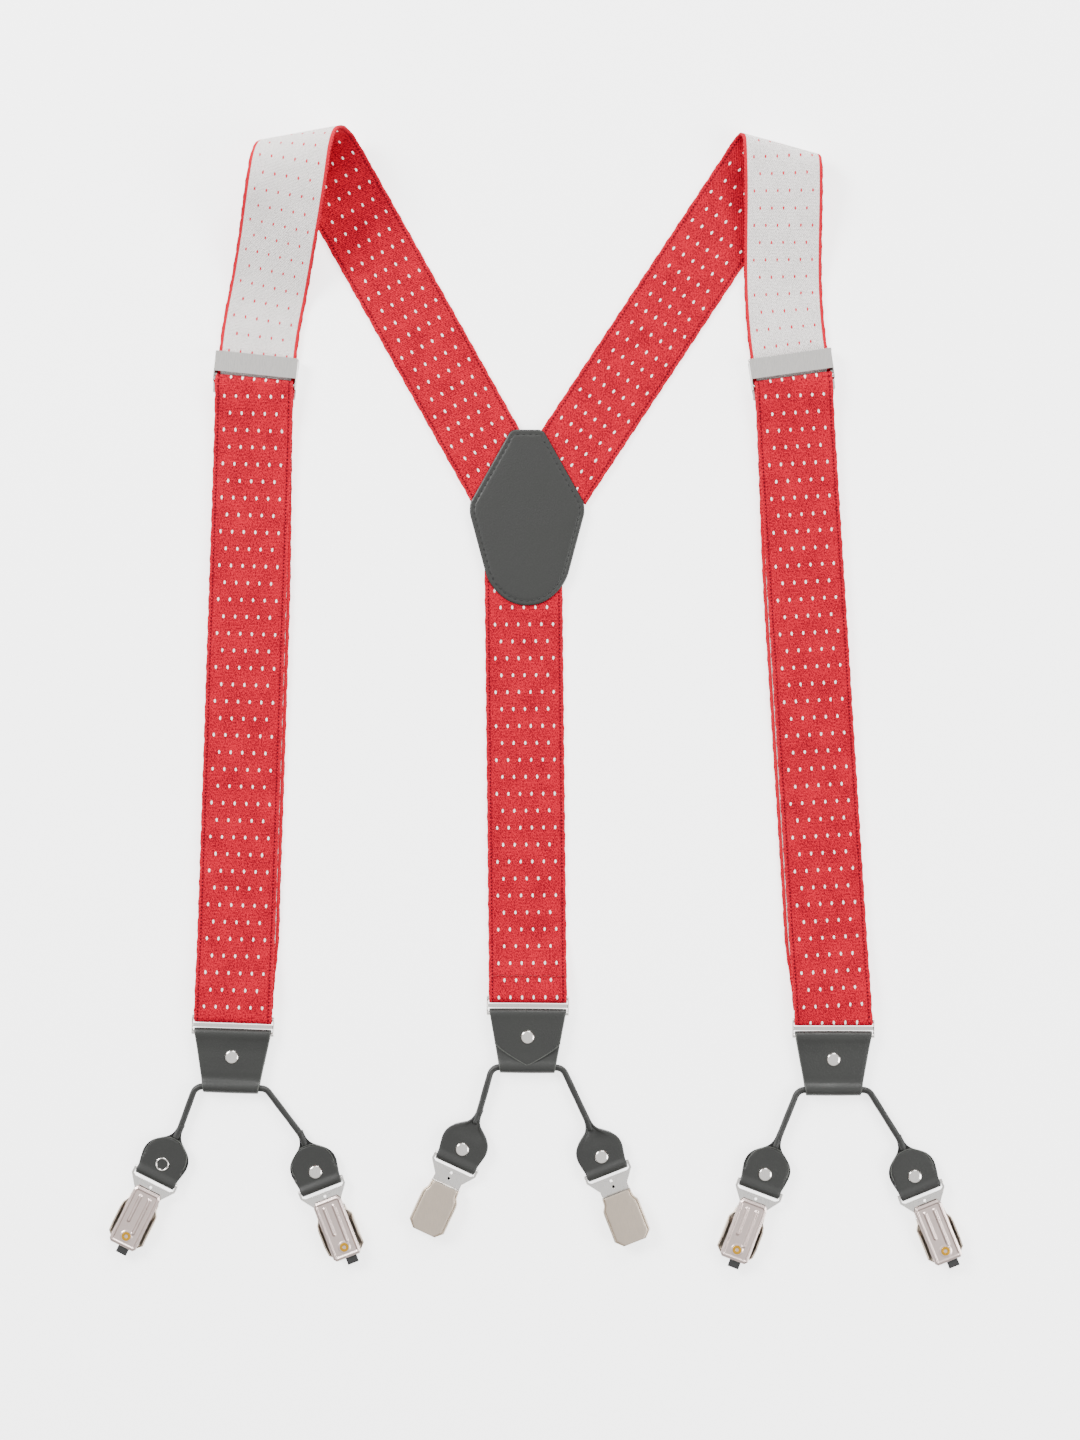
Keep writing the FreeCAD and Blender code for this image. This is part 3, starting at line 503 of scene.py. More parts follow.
def group_of(name, inputs, outputs, build):
    """Node group that takes and gives plain values; build gets the tree and the inputs' sockets."""
    tree = bpy.data.node_groups.new(name, "ShaderNodeTree")
    kind = "NodeSocketFloat"
    for socket, default in inputs:
        taken = tree.interface.new_socket(socket, in_out="INPUT", socket_type=kind)
        taken.default_value = default
    for socket in outputs:
        tree.interface.new_socket(socket, in_out="OUTPUT", socket_type=kind)
    source = tree.nodes.new("NodeGroupInput")
    results = build(tree, source.outputs)
    sink = tree.nodes.new("NodeGroupOutput")
    for i, result in enumerate(results):
        tree.links.new(result, sink.inputs[i])
    return tree


DOT_MARGIN = 3.2            # from the webbing's edge to its outermost dots
EDGE_COLUMN = 1.85          # from the edge to the dark column
SELVEDGE = 1.6              # from the edge to the selvedge's inner side
COLUMN_BEAT = 1.6           # lengths of the weave's repeats
PICK_BEAT = 1.7
TWILL_BEAT = 0.95
RIB_BEAT = 0.62


def weave_group(sizes):
    """Pin dots, edge columns and yarns of the webbing, from its own map in millimetres."""
    pitch, rows = sizes.dot_pitch / MM, sizes.dot_rows / MM
    half = sizes.web_width / MM / 2

    def build(tree, given):
        uv = put(tree, "UVMap", uv_map="strap").outputs[0]
        split = put(tree, "SeparateXYZ", [uv]).outputs
        x, s = split[0], split[1]
        away = maths(tree, "ABSOLUTE", x)
        jag = maths(tree, "SUBTRACT", noise(tree, uv, 1.9, 1.0), 0.5)
        row = maths(tree, "DIVIDE", s, rows)
        whole = maths(tree, "FLOOR", row)
        odd = maths(tree, "FLOORED_MODULO", whole, 2.0)
        ds = maths(tree, "SUBTRACT", maths(tree, "SUBTRACT", row, whole), 0.5)
        ds = maths(tree, "MULTIPLY", ds, rows / 0.8)
        shifted = maths(tree, "MULTIPLY_ADD", odd, pitch / 2, x)
        dx = maths(tree, "WRAP", shifted, pitch / 2, -pitch / 2)
        dx = maths(tree, "DIVIDE", dx, given["Dot width"])
        far = maths(tree, "MULTIPLY_ADD", dx, dx, maths(tree, "MULTIPLY", ds, ds))
        far = maths(tree, "MULTIPLY_ADD", jag, 0.7, maths(tree, "SQRT", far))
        inside = maths(tree, "LESS_THAN", away, half - DOT_MARGIN)
        dots = maths(tree, "MULTIPLY", ramp(tree, far, 0.85, 1.15, 1, 0), inside)
        beat = wave(tree, s, COLUMN_BEAT)
        column_x = maths(tree, "MULTIPLY_ADD", beat, 0.22, half - EDGE_COLUMN)
        near = maths(tree, "ABSOLUTE", maths(tree, "SUBTRACT", away, column_x))
        fade = ramp(tree, beat, -0.6, 0.4, 0.25, 1)
        column = maths(tree, "MULTIPLY", ramp(tree, near, 0.15, 0.5, 1, 0), fade)
        picks = ramp(tree, wave(tree, s, PICK_BEAT), 0.1, 0.7)
        rim = maths(tree, "MULTIPLY", ramp(tree, away, half - 0.55, half - 0.15), picks)
        selvedge = ramp(tree, away, half - SELVEDGE - 0.15, half - SELVEDGE + 0.15)
        twill = wave(tree, maths(tree, "MULTIPLY_ADD", s, 0.62, x), TWILL_BEAT)
        ribs = wave(tree, s, RIB_BEAT)
        yarn = maths(tree, "MULTIPLY_ADD", ribs, 0.3, maths(tree, "MULTIPLY", twill, 0.4))
        fuzz = noise(tree, uv, 1.35, 3.0, 0.62)
        yarn = maths(tree, "MULTIPLY_ADD", fuzz, 1.3, yarn)
        broad = noise(tree, uv, 0.11, 2.0)
        mottle = maths(tree, "MULTIPLY_ADD", broad, 0.2, maths(tree, "MULTIPLY", fuzz, 0.9))
        return dots, column, rim, selvedge, yarn, mottle
    outputs = ["Dots", "Column", "Rim", "Selvedge", "Yarn", "Mottle"]
    return group_of("webbing weave", [("Dot width", 0.5)], outputs, build)


def grain_group():
    """Pebbled grain and soft creases of leather, on object coordinates."""
    def build(tree, given):
        where = put(tree, "TexCoord").outputs["Object"]
        warp = noise(tree, where, 420.0, 2.0)
        inputs = {"Vector": where, "Scale": 1500.0, "Randomness": 0.9}
        cells = put(tree, "TexVoronoi", inputs, feature="SMOOTH_F1")
        pebble = maths(tree, "MULTIPLY", cells.outputs["Distance"], given["Pebbles"])
        crease = maths(tree, "MULTIPLY", warp, given["Creases"])
        cloud = noise(tree, where, 70.0, 3.0)
        height = maths(tree, "ADD", pebble, crease)
        return height, cloud
    return group_of("leather grain", [("Pebbles", 0.6), ("Creases", 0.5)], ["Height", "Cloud"], build)


def handling_group():
    """Brushing, smudges and fine scratches of handled metal, on object coordinates."""
    def build(tree, given):
        where = put(tree, "TexCoord").outputs["Object"]
        stretch = put(tree, "Mapping", {"Vector": where, "Scale": (1.0, 0.06, 1.0)}).outputs[0]
        brush = noise(tree, stretch, 5200.0, 3.0, 0.6)
        smudge = noise(tree, where, 160.0, 3.0, 0.55)
        scratch = ramp(tree, noise(tree, stretch, 900.0, 4.0, 0.7), 0.66, 0.74)
        rough = maths(tree, "MULTIPLY_ADD", smudge, given["Smudge"], given["Base"])
        rough = maths(tree, "MULTIPLY_ADD", brush, given["Brush"], rough)
        return rough, brush, scratch
    inputs = [("Base", 0.1), ("Smudge", 0.1), ("Brush", 0.1)]
    return group_of("handled metal", inputs, ["Roughness", "Brush", "Scratch"], build)


def use_group(tree, group, **values):
    node = tree.nodes.new("ShaderNodeGroup")
    node.node_tree = group
    for name, value in values.items():
        node.inputs[name.replace("_", " ").capitalize()].default_value = value
    return node.outputs


def surface(material, colour, roughness, height=None, depth=0.0, **fixed):
    """Shader of a material: colour, roughness, a bump, and fixed values on the shader's sockets."""
    tree = material.node_tree
    shader = put(tree, "BsdfPrincipled", {"Base Color": colour, "Roughness": roughness})
    for name, value in fixed.items():
        shader.inputs[name.replace("_", " ")].default_value = value
    if height is not None:
        bump = put(tree, "Bump", {"Height": height, "Strength": 1.0, "Distance": depth * MM})
        tree.links.new(bump.outputs[0], shader.inputs["Normal"])
    out = tree.nodes.new("ShaderNodeOutputMaterial")
    tree.links.new(shader.outputs[0], out.inputs[0])
    return material


def red_face(weave, colours):
    """Red yarns with white pin dots and dark edge columns."""
    material = fresh("webbing outer")
    tree = material.node_tree
    g = use_group(tree, weave, dot_width=0.46)
    tone = ramp(tree, g["Mottle"], 0.4, 0.68)
    colour = blend_colour(tree, tone, colours.dark_red, colours.red)
    # Lighter red on the raised yarns of the weave: a painted highlight
    light = ramp(tree, g["Yarn"], 0.75, 1.25)
    colour = blend_colour(tree, maths(tree, "MULTIPLY", light, 0.4), colour, srgb(208, 12, 44))
    dark = maths(tree, "MULTIPLY", maths(tree, "MAXIMUM", g["Column"], g["Rim"]), 0.9)
    colour = blend_colour(tree, dark, colour, srgb(58, 0, 10))
    colour = blend_colour(tree, g["Dots"], colour, srgb(255, 250, 244))
    height = maths(tree, "MULTIPLY_ADD", g["Dots"], 0.7, g["Yarn"])
    return surface(material, colour, 0.82, height, 0.16, Specular_IOR_Level=0.12)


def white_face(weave, colours):
    """White yarns with red pin dots and red selvedges."""
    material = fresh("webbing inner")
    tree = material.node_tree
    g = use_group(tree, weave, dot_width=0.42)
    tone = ramp(tree, g["Mottle"], 0.3, 0.75)
    colour = blend_colour(tree, tone, srgb(196, 190, 188), colours.white)
    # Grey where the yarn height is low, in the dips of the weave: painted shade
    low_yarn_shade = ramp(tree, g["Yarn"], 0.35, 0.12)
    colour = blend_colour(tree, maths(tree, "MULTIPLY", low_yarn_shade, 0.5), colour, srgb(150, 140, 140))
    colour = blend_colour(tree, g["Dots"], colour, srgb(200, 16, 44))
    side = blend_colour(tree, g["Rim"], colours.red, srgb(110, 6, 24))
    colour = blend_colour(tree, g["Selvedge"], colour, side)
    return surface(material, colour, 0.85, g["Yarn"], 0.16, Specular_IOR_Level=0.12)


def web_edge(weave, colours):
    """Bound edge of the webbing: red picks with dark gaps."""
    material = fresh("webbing edge")
    tree = material.node_tree
    g = use_group(tree, weave)
    colour = blend_colour(tree, maths(tree, "MULTIPLY", g["Rim"], 0.85), colours.red, srgb(92, 4, 20))
    return surface(material, colour, 0.85, g["Yarn"], 0.15, Specular_IOR_Level=0.12)


def leather_of(name, grain, colour, dark, light, gloss=0.46, pebbles=0.5):
    """Satin leather whose colour and gloss vary softly."""
    material = fresh(name)
    tree = material.node_tree
    g = use_group(tree, grain, pebbles=pebbles, creases=0.5)
    tone = ramp(tree, g["Cloud"], 0.3, 0.7)
    shade = [c * dark for c in colour]
    lit = [c * light for c in colour]
    mixed = blend_colour(tree, tone, shade, lit)
    rough = ramp(tree, g["Cloud"], 0.25, 0.75, gloss + 0.08, gloss - 0.06)
    return surface(material, mixed, rough, g["Height"], 0.12, Specular_IOR_Level=0.45)


def metal_of(name, handling, colour, base, smudge, brush, depth=0.01):
    """Metal with brushing, smudges and scratches."""
    material = fresh(name)
    tree = material.node_tree
    g = use_group(tree, handling, base=base, smudge=smudge, brush=brush)
    worn, scratched = ([c * shade for c in colour] for shade in (0.9, 0.7))
    mixed = blend_colour(tree, ramp(tree, g["Brush"], 0.3, 0.7), worn, colour)
    mixed = blend_colour(tree, maths(tree, "MULTIPLY", g["Scratch"], 0.3), mixed, scratched)
    return surface(material, mixed, g["Roughness"], g["Brush"], depth, Metallic=1.0)


def plain_of(name, grain, colour, roughness):
    """Thread or rubber with a fine grain."""
    material = fresh(name)
    tree = material.node_tree
    g = use_group(tree, grain, pebbles=0.4, creases=0.4)
    worn = [c * 0.75 for c in colour]
    mixed = blend_colour(tree, ramp(tree, g["Cloud"], 0.3, 0.7), worn, colour)
    return surface(material, mixed, roughness, g["Height"], 0.05)


MATERIALS = {}


def make_materials():
    """Every material by the name that the pieces use."""
    settings = bpy.context.scene
    sizes, colours = settings.suspender_sizes, settings.suspender_colours
    weave, grain, handling = weave_group(sizes), grain_group(), handling_group()
    leather = tuple(colours.leather)
    MATERIALS.update(
        red=red_face(weave, colours),
        white=white_face(weave, colours),
        edge=web_edge(weave, colours),
        leather=leather_of("leather", grain, leather, 0.82, 1.14),
        smooth_leather=leather_of("cord leather", grain, leather, 0.7, 1.0, 0.5, 0.3),
        # Edge leather is several times lighter than the leather: a painted highlight along the cut edges of
        # tabs and flaps
        leather_edge=leather_of("leather edge highlight", grain, leather, 2.6, 4.2, 0.6),
        # Leather darkened to near black: painted shade for the hollow above a tongue's turned-over flap
        hollow_leather=leather_of("leather inside shade", grain, leather, 0.12, 0.2, 0.8),
        black_thread=plain_of("black thread", grain, srgb(16, 16, 16), 0.6),
        red_thread=plain_of("red thread", grain, srgb(150, 8, 26), 0.7),
        rubber=plain_of("grip pad", grain, srgb(22, 22, 22), 0.55),
        satin=metal_of("satin nickel", handling, tuple(colours.nickel), 0.3, 0.08, 0.08),
        jaw=metal_of("pressed nickel", handling, srgb(214, 196, 190), 0.24, 0.06, 0.03, 0.003),
        chrome=metal_of("chrome", handling, tuple(colours.chrome), 0.05, 0.08, 0.03),
        brass=metal_of("brass", handling, tuple(colours.brass), 0.18, 0.12, 0.05),
    )


# ---- webbing ----

def arm_line(arm):
    """From under the patch to the shoulder fold: level, then down to the floor by an eased drop."""
    start, d = at_height(arm["start"], 0), ahead(arm["heading"])
    s = np.concatenate([[-ARM_INSIDE_PATCH, 0], np.linspace(ARM_OUT, ARM_OUT + ARM_DROP, 9),
                        np.linspace(ARM_OUT + ARM_DROP + 15, arm["length"] - 6, 7)])
    z = WEB_Z_IN_PATCH + (WEB_Z - WEB_Z_IN_PATCH) * ease((s - ARM_OUT) / ARM_DROP)
    points = start + d * s[:, None] + UP * z[:, None]
    return points, np.tile(right_of(arm["heading"]), (len(s), 1))


def fold_line(arm):
    """Half turn round a cylinder; a strap that meets it at a skew goes round as a helix."""
    heading = (arm["heading"] + arm["front_heading"] - 180) / 2
    skew = math.radians(arm["heading"] - heading)
    begin = at_height(arm["start"], WEB_Z) + ahead(arm["heading"]) * arm["length"]
    n, across, radius = ahead(heading), right_of(heading), arm["radius"]
    turn = np.linspace(0, np.pi, 17)[:, None]
    points = (begin + across * (radius * turn * math.tan(skew)) + n * (radius * np.sin(turn))
              + UP * (radius * (1 - np.cos(turn))))
    return points, np.tile(across, (17, 1))


def front_line(side, top, ruling):
    """From the fold's top to the adjuster: a curve in plan, coming down by an eased drop.
    Its cross-sections turn from the fold's ruling to square across the strap."""
    arm = ARMS[side]
    middle, down = adjuster_place(side)
    foot = at_height(middle - down * ADJUSTER_RUN_IN, WEB_Z_IN_ADJUSTER)
    reach = np.linalg.norm((foot - top)[:2]) / 3
    bend_top, bend_foot = top + ahead(arm["front_heading"]) * reach, foot - down * reach
    t = np.linspace(0, 1, 25)[1:, None]
    u = 1 - t
    points = top * u ** 3 + bend_top * (3 * u * u * t) + bend_foot * (3 * u * t * t) + foot * t ** 3
    along = (bend_top - top) * (u * u) + (bend_foot - bend_top) * (2 * u * t) + (foot - bend_foot) * (t * t)
    points[:, 2] = (top[2] + (foot[2] - top[2]) * ease(t / FRONT_LEVEL))[:, 0]
    along[:, 2] = 0
    square = np.cross(UP, unit(along))
    across = unit(ruling + (square - ruling) * ease(t / 0.4))
    inside = at_height(middle, WEB_Z_IN_ADJUSTER)
    points = np.concatenate([points, [inside]])
    return points, np.concatenate([across, across[-1:]])


def make_upper_strap(side, half, thick):
    """Arm, shoulder fold and front band in one length of webbing."""
    arm = ARMS[side]
    first, fold = arm_line(arm), fold_line(arm)
    front = front_line(side, fold[0][-1], fold[1][-1])
    points, across = (np.concatenate(parts) for parts in zip(first, fold, front))
    even, sides = resample(points, across)
    slant = np.abs(np.sum(direction(even) * sides, axis=1))
    widths = half / np.sqrt(1 - slant ** 2)
    piece = slanted_band(side + "_upper_webbing", even, sides, widths, thick)
    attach(piece, "harness")
    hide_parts(side + "_strap", side + "_front_band")
    return lengths(even)[-1]


def slanted_band(name, points, across, half, thick, start=0.0):
    """Webbing whose cross-sections may stand at a slant to its line, as on the fold's rulings."""
    along = direction(points)
    normal = unit(np.cross(across, along))
    s = lengths(points) + start
    share, out, height, slot = band_profile(15, thick)
    ripple = EDGE_RIPPLE * (np.sin(s * 0.65) + 0.7 * np.sin(s * 1.43 + 1))
    x = share * (half - thick / 2 + ripple)[:, None] + out
    lift = FACE_RIPPLE * np.sin(s * 0.31)[:, None] * share ** 2 + height
    rings = points[:, None] + across[:, None] * x[..., None] + normal[:, None] * lift[..., None]
    lean = np.sum(along * across, axis=1)[:, None]
    flat_x = x * np.sqrt(1 - lean ** 2)
    uv = np.stack([flat_x, s[:, None] + x * lean], axis=-1)
    return tube(name, rings, [MATERIALS[m] for m in ("red", "white", "edge")], slot, 2, uv)


def loop_layers(side, thick):
    """Points and across vectors of the lower layer, and of the turn round the ring with the upper one."""
    middle, down = adjuster_place(side)
    ring, end_down = joint_at(side + "_ring_hinge"), ring_down(side)
    ring_z = ring[2]
    bar = at_height(middle + down * ADJUSTER_BAR_DROP, 0)
    run = at_height(ring, 0) - bar
    headings = heading_of(down), heading_of(run), heading_of(end_down)
    wrap = BAR_RADIUS + BAR_CLEARANCE + thick / 2
    bar_wrap = ADJUSTER_BAR_RADIUS + BAR_CLEARANCE + thick / 2
    raised = WEB_Z_IN_ADJUSTER - WEB_Z
    upper_z = WEB_Z + thick + LAYER_GAP

    def lift(t):
        return raised * (1 - ease((t - LOOP_LEVEL) * 8))

    def layer(t, z, shift=0.0):
        t, z, shift = (np.asarray(v, float) for v in (t, z, shift))
        heading = headings[0] + (headings[1] - headings[0]) * ease(t * 6)
        heading = heading + (headings[2] - heading) * ease((t - 0.88) / 0.1)
        across = -right_of(heading)
        points = bar + run * t[:, None] + UP * z[:, None]
        return points + across * np.broadcast_to(shift, t.shape)[:, None], across

    shares = np.array([0.08, 0.16, 0.3, 0.45, 0.5, 0.55, 0.6, 0.7, 0.8, 0.88])
    shift = LOOP_SHIFT[side] * ease((shares - 0.03) * 3)
    lower = layer(shares, WEB_Z + lift(shares), shift)
    foot = layer([0.95, 0.985], [ring_z - wrap, ring_z - wrap], [LOOP_SHIFT[side] * 0.2, 0])
    top = layer([0.02], [WEB_Z_IN_ADJUSTER])
    inside = (np.array([at_height(middle, WEB_Z_IN_ADJUSTER)]), top[1])
    below = [np.concatenate(parts) for parts in zip(inside, top, lower, foot)]
    turn = bar_turn(ring, end_down, wrap, -1)
    turn_across = np.tile(below[1][-1], (len(turn), 1))
    shares = np.array([0.985, 0.955, 0.9, 0.8, 0.7, 0.6, 0.55, 0.5, 0.45, 0.3, 0.12, 0.06, 0.03])
    heights = upper_z + lift(shares)
    heights[:3] = ring_z + wrap, ring_z + wrap, upper_z + 0.8
    heights[-3:] = upper_z + raised + 0.1, upper_z + raised + 0.9, ADJUSTER_BAR_Z + bar_wrap - 0.6
    above = layer(shares, heights)
    bar_points = bar_turn(at_height(bar, ADJUSTER_BAR_Z), down, bar_wrap, 1, 10)
    bar_across = np.tile(above[1][-1], (len(bar_points), 1))
    tail = layer([0.03, 0.034], [ADJUSTER_BAR_Z - bar_wrap + 0.2, ADJUSTER_BAR_Z - bar_wrap + 0.5])
    runs = (turn, turn_across), above, (bar_points, bar_across), tail
    return below, [np.concatenate(group) for group in zip(*runs)]


def make_loop(side, half, thick, start):
    """Lower layer of webbing from the adjuster to the ring; upper layer round the ring's bar, back over it
    and round the adjuster's bar.
    """
    below, upper = loop_layers(side, thick)
    middle, down = adjuster_place(side)
    ring = joint_at(side + "_ring_hinge")
    near_ring = ring - level(ring - middle) * LOOP_END
    line, across = resample(*below)
    lower = slanted_band(side + "_lower_webbing", line, across, half, thick, start)
    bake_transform(lower)
    start += lengths(line)[-1]
    line, across = resample(*upper, step=1.0)
    piece = slanted_band(side + "_upper_loop", line, across, half, thick, start)
    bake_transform(piece)
    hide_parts(side + "_loop")


def make_rear_strap(half, thick):
    """From under the patch over the ring's bar, its sewn end turned back underneath."""
    ring, end_down = joint_at("rear_ring_hinge"), ring_down("rear")
    top = at_height(REAR_TOP, 0)
    run = at_height(ring, 0) - top
    length = np.linalg.norm(run)
    run_heading, end_heading = heading_of(run), heading_of(end_down)
    wrap = BAR_RADIUS + BAR_CLEARANCE + thick / 2
    out = PATCH_LENGTH / 2 + REAR_TOP[1] + 0.5
    stations = [(0, WEB_Z_IN_PATCH), (out, WEB_Z_IN_PATCH), (out + 5, WEB_Z_IN_PATCH - 0.25),
                (out + 11, WEB_Z + 0.25), (out + 17, WEB_Z), (out + 50, WEB_Z), (out + 90, WEB_Z),
                (length - 60, WEB_Z), (length - 40, WEB_Z), (length - 27, WEB_Z + 0.1),
                (length - 17, WEB_Z + thick + 0.3), (length - 8, ring[2] + wrap - 0.6),
                (length - 2, ring[2] + wrap)]

    def layer(places):
        s, z = np.array(places, float).T
        heading = run_heading + (end_heading - run_heading) * ease((s - length + 40) / 20)
        return top + run * (s / length)[:, None] + UP * z[:, None], right_of(heading)

    turn = bar_turn(ring, -end_down, wrap, 1)
    across = np.tile(right_of(end_heading), (len(turn), 1))
    tail = layer([(length - 6, ring[2] - wrap), (length - 13, WEB_Z)])
    runs = layer(stations), (turn, across), tail
    line, across = resample(*(np.concatenate(group) for group in zip(*runs)))
    piece = slanted_band("rear_webbing", line, across, half, thick, 2.0)
    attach(piece, "harness")
    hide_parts("rear_strap")


def make_seam(name, centre, down, z, half, body):
    """Row of stitches across the webbing, through both layers."""
    across = level(np.cross(down, UP))
    t = np.linspace(-half + 0.8, half - 0.8, SEAM_POINTS)
    points = at_height(centre, z) + across * t[:, None] + down * (0.25 * np.sin(t * 0.9))[:, None]
    sides, up = (np.tile(v, (SEAM_POINTS, 1)) for v in (down, UP))
    piece = stitch_row(name, points, sides, up, 2.1, MATERIALS["red_thread"], 0.24, fill=0.8)
    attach(piece, body)


# ---- patch ----

def arc_points(a, b, c, count):
    """Points on the circle through three points, from the first to the last, without the last."""
    a, b, c = (np.array(p, float) for p in (a, b, c))
    right = [np.dot(b, b) - np.dot(a, a), np.dot(c, c) - np.dot(b, b)]
    centre = np.linalg.solve(2 * np.array([b - a, c - b]), right)
    angles = np.unwrap([math.atan2(*(p - centre)[::-1]) for p in (a, b, c)])
    turn = np.interp(np.linspace(0, 2, count, endpoint=False), [0, 1, 2], angles)
    radius = np.linalg.norm(a - centre)
    return centre + radius * np.stack([np.cos(turn), np.sin(turn)], axis=-1)


def patch_outline():
    """Shield with a short flat top and a round foot: even points from the top, clockwise."""
    half, top = PATCH_WIDTH / 2, PATCH_LENGTH / 2
    shoulder, hip_top, hip = (half * 0.33, top - 2.3), (half - 0.3, 7.0), (half, 1.5)
    flat, waist, foot_side = (4.4, top), (18.9, 15.6 - top), (12.7, 5.3 - top)
    right = np.concatenate([
        [[0, top]],
        arc_points(flat, (flat[0] + 2.6, top - 0.6), shoulder, 8),
        [shoulder],
        arc_points(hip_top, (half + 0.05, 4.2), hip, 8),
        [hip],
        arc_points(waist, (16.3, 9.6 - top), foot_side, 10),
        arc_points(foot_side, (6.5, 1.2 - top), (0, -top), 16),
        [[0, -top]]])
    left = right[-2:0:-1] * [-1, 1]
    ring = np.concatenate([right, left, right[:1]])
    ring = np.column_stack([ring, np.zeros(len(ring))])
    knots = lengths(ring)
    at = np.linspace(0, knots[-1], 221)[:-1]
    return between(at, knots, ring[:, :2])


def outward(ring):
    """Unit normals of a clockwise outline."""
    along = unit(np.roll(ring, -1, axis=0) - np.roll(ring, 1, axis=0))
    return np.stack([-along[:, 1], along[:, 0]], axis=-1)


def make_patch(name, node, low, face):
    """Leather shield: rings of its outline drawn in to the middle, with a round rim and a groove."""
    ring = patch_outline()
    normals = outward(ring)
    reach = np.abs(np.sum(ring * normals, axis=1))
    inset = np.array([0, 0.12, 0.35, 0.7, 1.1, 1.5, 1.8, 2.1, 2.4, 2.7, 3.1, 4, 6, 9, 12, 15, 18, 21, 23.5])
    k = 1 - inset / (PATCH_WIDTH / 2)
    depth = inset[:, None] * reach / (PATCH_WIDTH / 2)
    angle = np.arctan2(ring[:, 1], ring[:, 0])
    plan = ring * k[:, None, None]
    rim = 0.34 * np.clip(1 - depth / 0.7, 0, 1) ** 2
    groove = 0.2 * np.exp(-((depth - STITCH_INSET) / 0.5) ** 2)
    sag = 0.22 * np.exp(-depth / 3.5) + 0.05 * np.sin(3 * angle + 1) * np.exp(-depth / 9)
    thick = PATCH_LEATHER
    shown = low + thick - rim - groove - sag if face > 0 else low + rim
    hidden = low + rim - sag * 0.6 if face > 0 else low + thick - rim - 0.05
    shown, hidden = (np.broadcast_to(z, depth.shape) for z in (shown, hidden))
    top = np.concatenate([plan, shown[..., None]], axis=-1)[::-1]
    bottom = np.concatenate([plan, hidden[..., None]], axis=-1)
    rings = np.concatenate([top, bottom])
    piece = tube(name, rings, [MATERIALS["leather"]])
    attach(piece, "harness")
    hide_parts(node)
    line = ring - normals * STITCH_INSET
    z = low + thick - 0.3 if face > 0 else low + 0.12
    closed = np.concatenate([line, line[:1]])
    points = np.column_stack([closed, np.full(len(closed), z)])
    sides = np.column_stack([np.concatenate([normals, normals[:1]]), np.zeros(len(closed))])
    up = np.tile(UP * face, (len(closed), 1))
    pitch = bpy.context.scene.suspender_sizes.stitch_pitch / MM
    thread = stitch_row(name + "_stitches", points, sides, up, pitch, MATERIALS["black_thread"], 0.3)
    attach(thread, "harness")


# ---- tabs ----

def tab_line(bar_to_bar, cord_y):
    """Side view of the folded strip: flap, over the bar, down inside, round the cord and up."""
    lower = -bar_to_bar
    r = BAR_RADIUS + BAR_FIT + TAB_LEATHER / 2
    top = lower + BAR_RADIUS + BAR_FIT + TAB_LEATHER
    foot_r = TAB_LENGTH - (top - cord_y) - TAB_LEATHER / 2
    up_turn = np.linspace(np.pi / 2, -np.pi / 2, 11)
    down_turn = np.linspace(-np.pi / 2, -3 * np.pi / 2, 11)
    flap_z = TAB_LEATHER + TAB_LEATHER / 2 - 0.1
    tip = top - FLAP_POINT
    y = np.concatenate([[tip, tip + 2.5, tip + 5, tip + 9, tip + 14, lower - 3],
                        lower + r * np.cos(up_turn),
                        [lower - 3.5, lower - 7, -18, cord_y + 7, cord_y + 3.6, cord_y + 2.8, cord_y + 1.8],
                        cord_y + foot_r * np.cos(down_turn), [cord_y + 3.5, cord_y + 7, -18, lower - 6]])
    z = np.concatenate([[flap_z + 0.35, flap_z + 0.25, flap_z + 0.1, flap_z, flap_z, flap_z],
                        r * np.sin(up_turn), [-1.0, -0.58, -0.56, -0.57, -0.6, -0.85, -1.55],
                        foot_r * np.sin(down_turn), [1.15, 0.56, 0.54, 0.54]])
    return np.stack([0 * y, y, z], axis=-1), tip, top


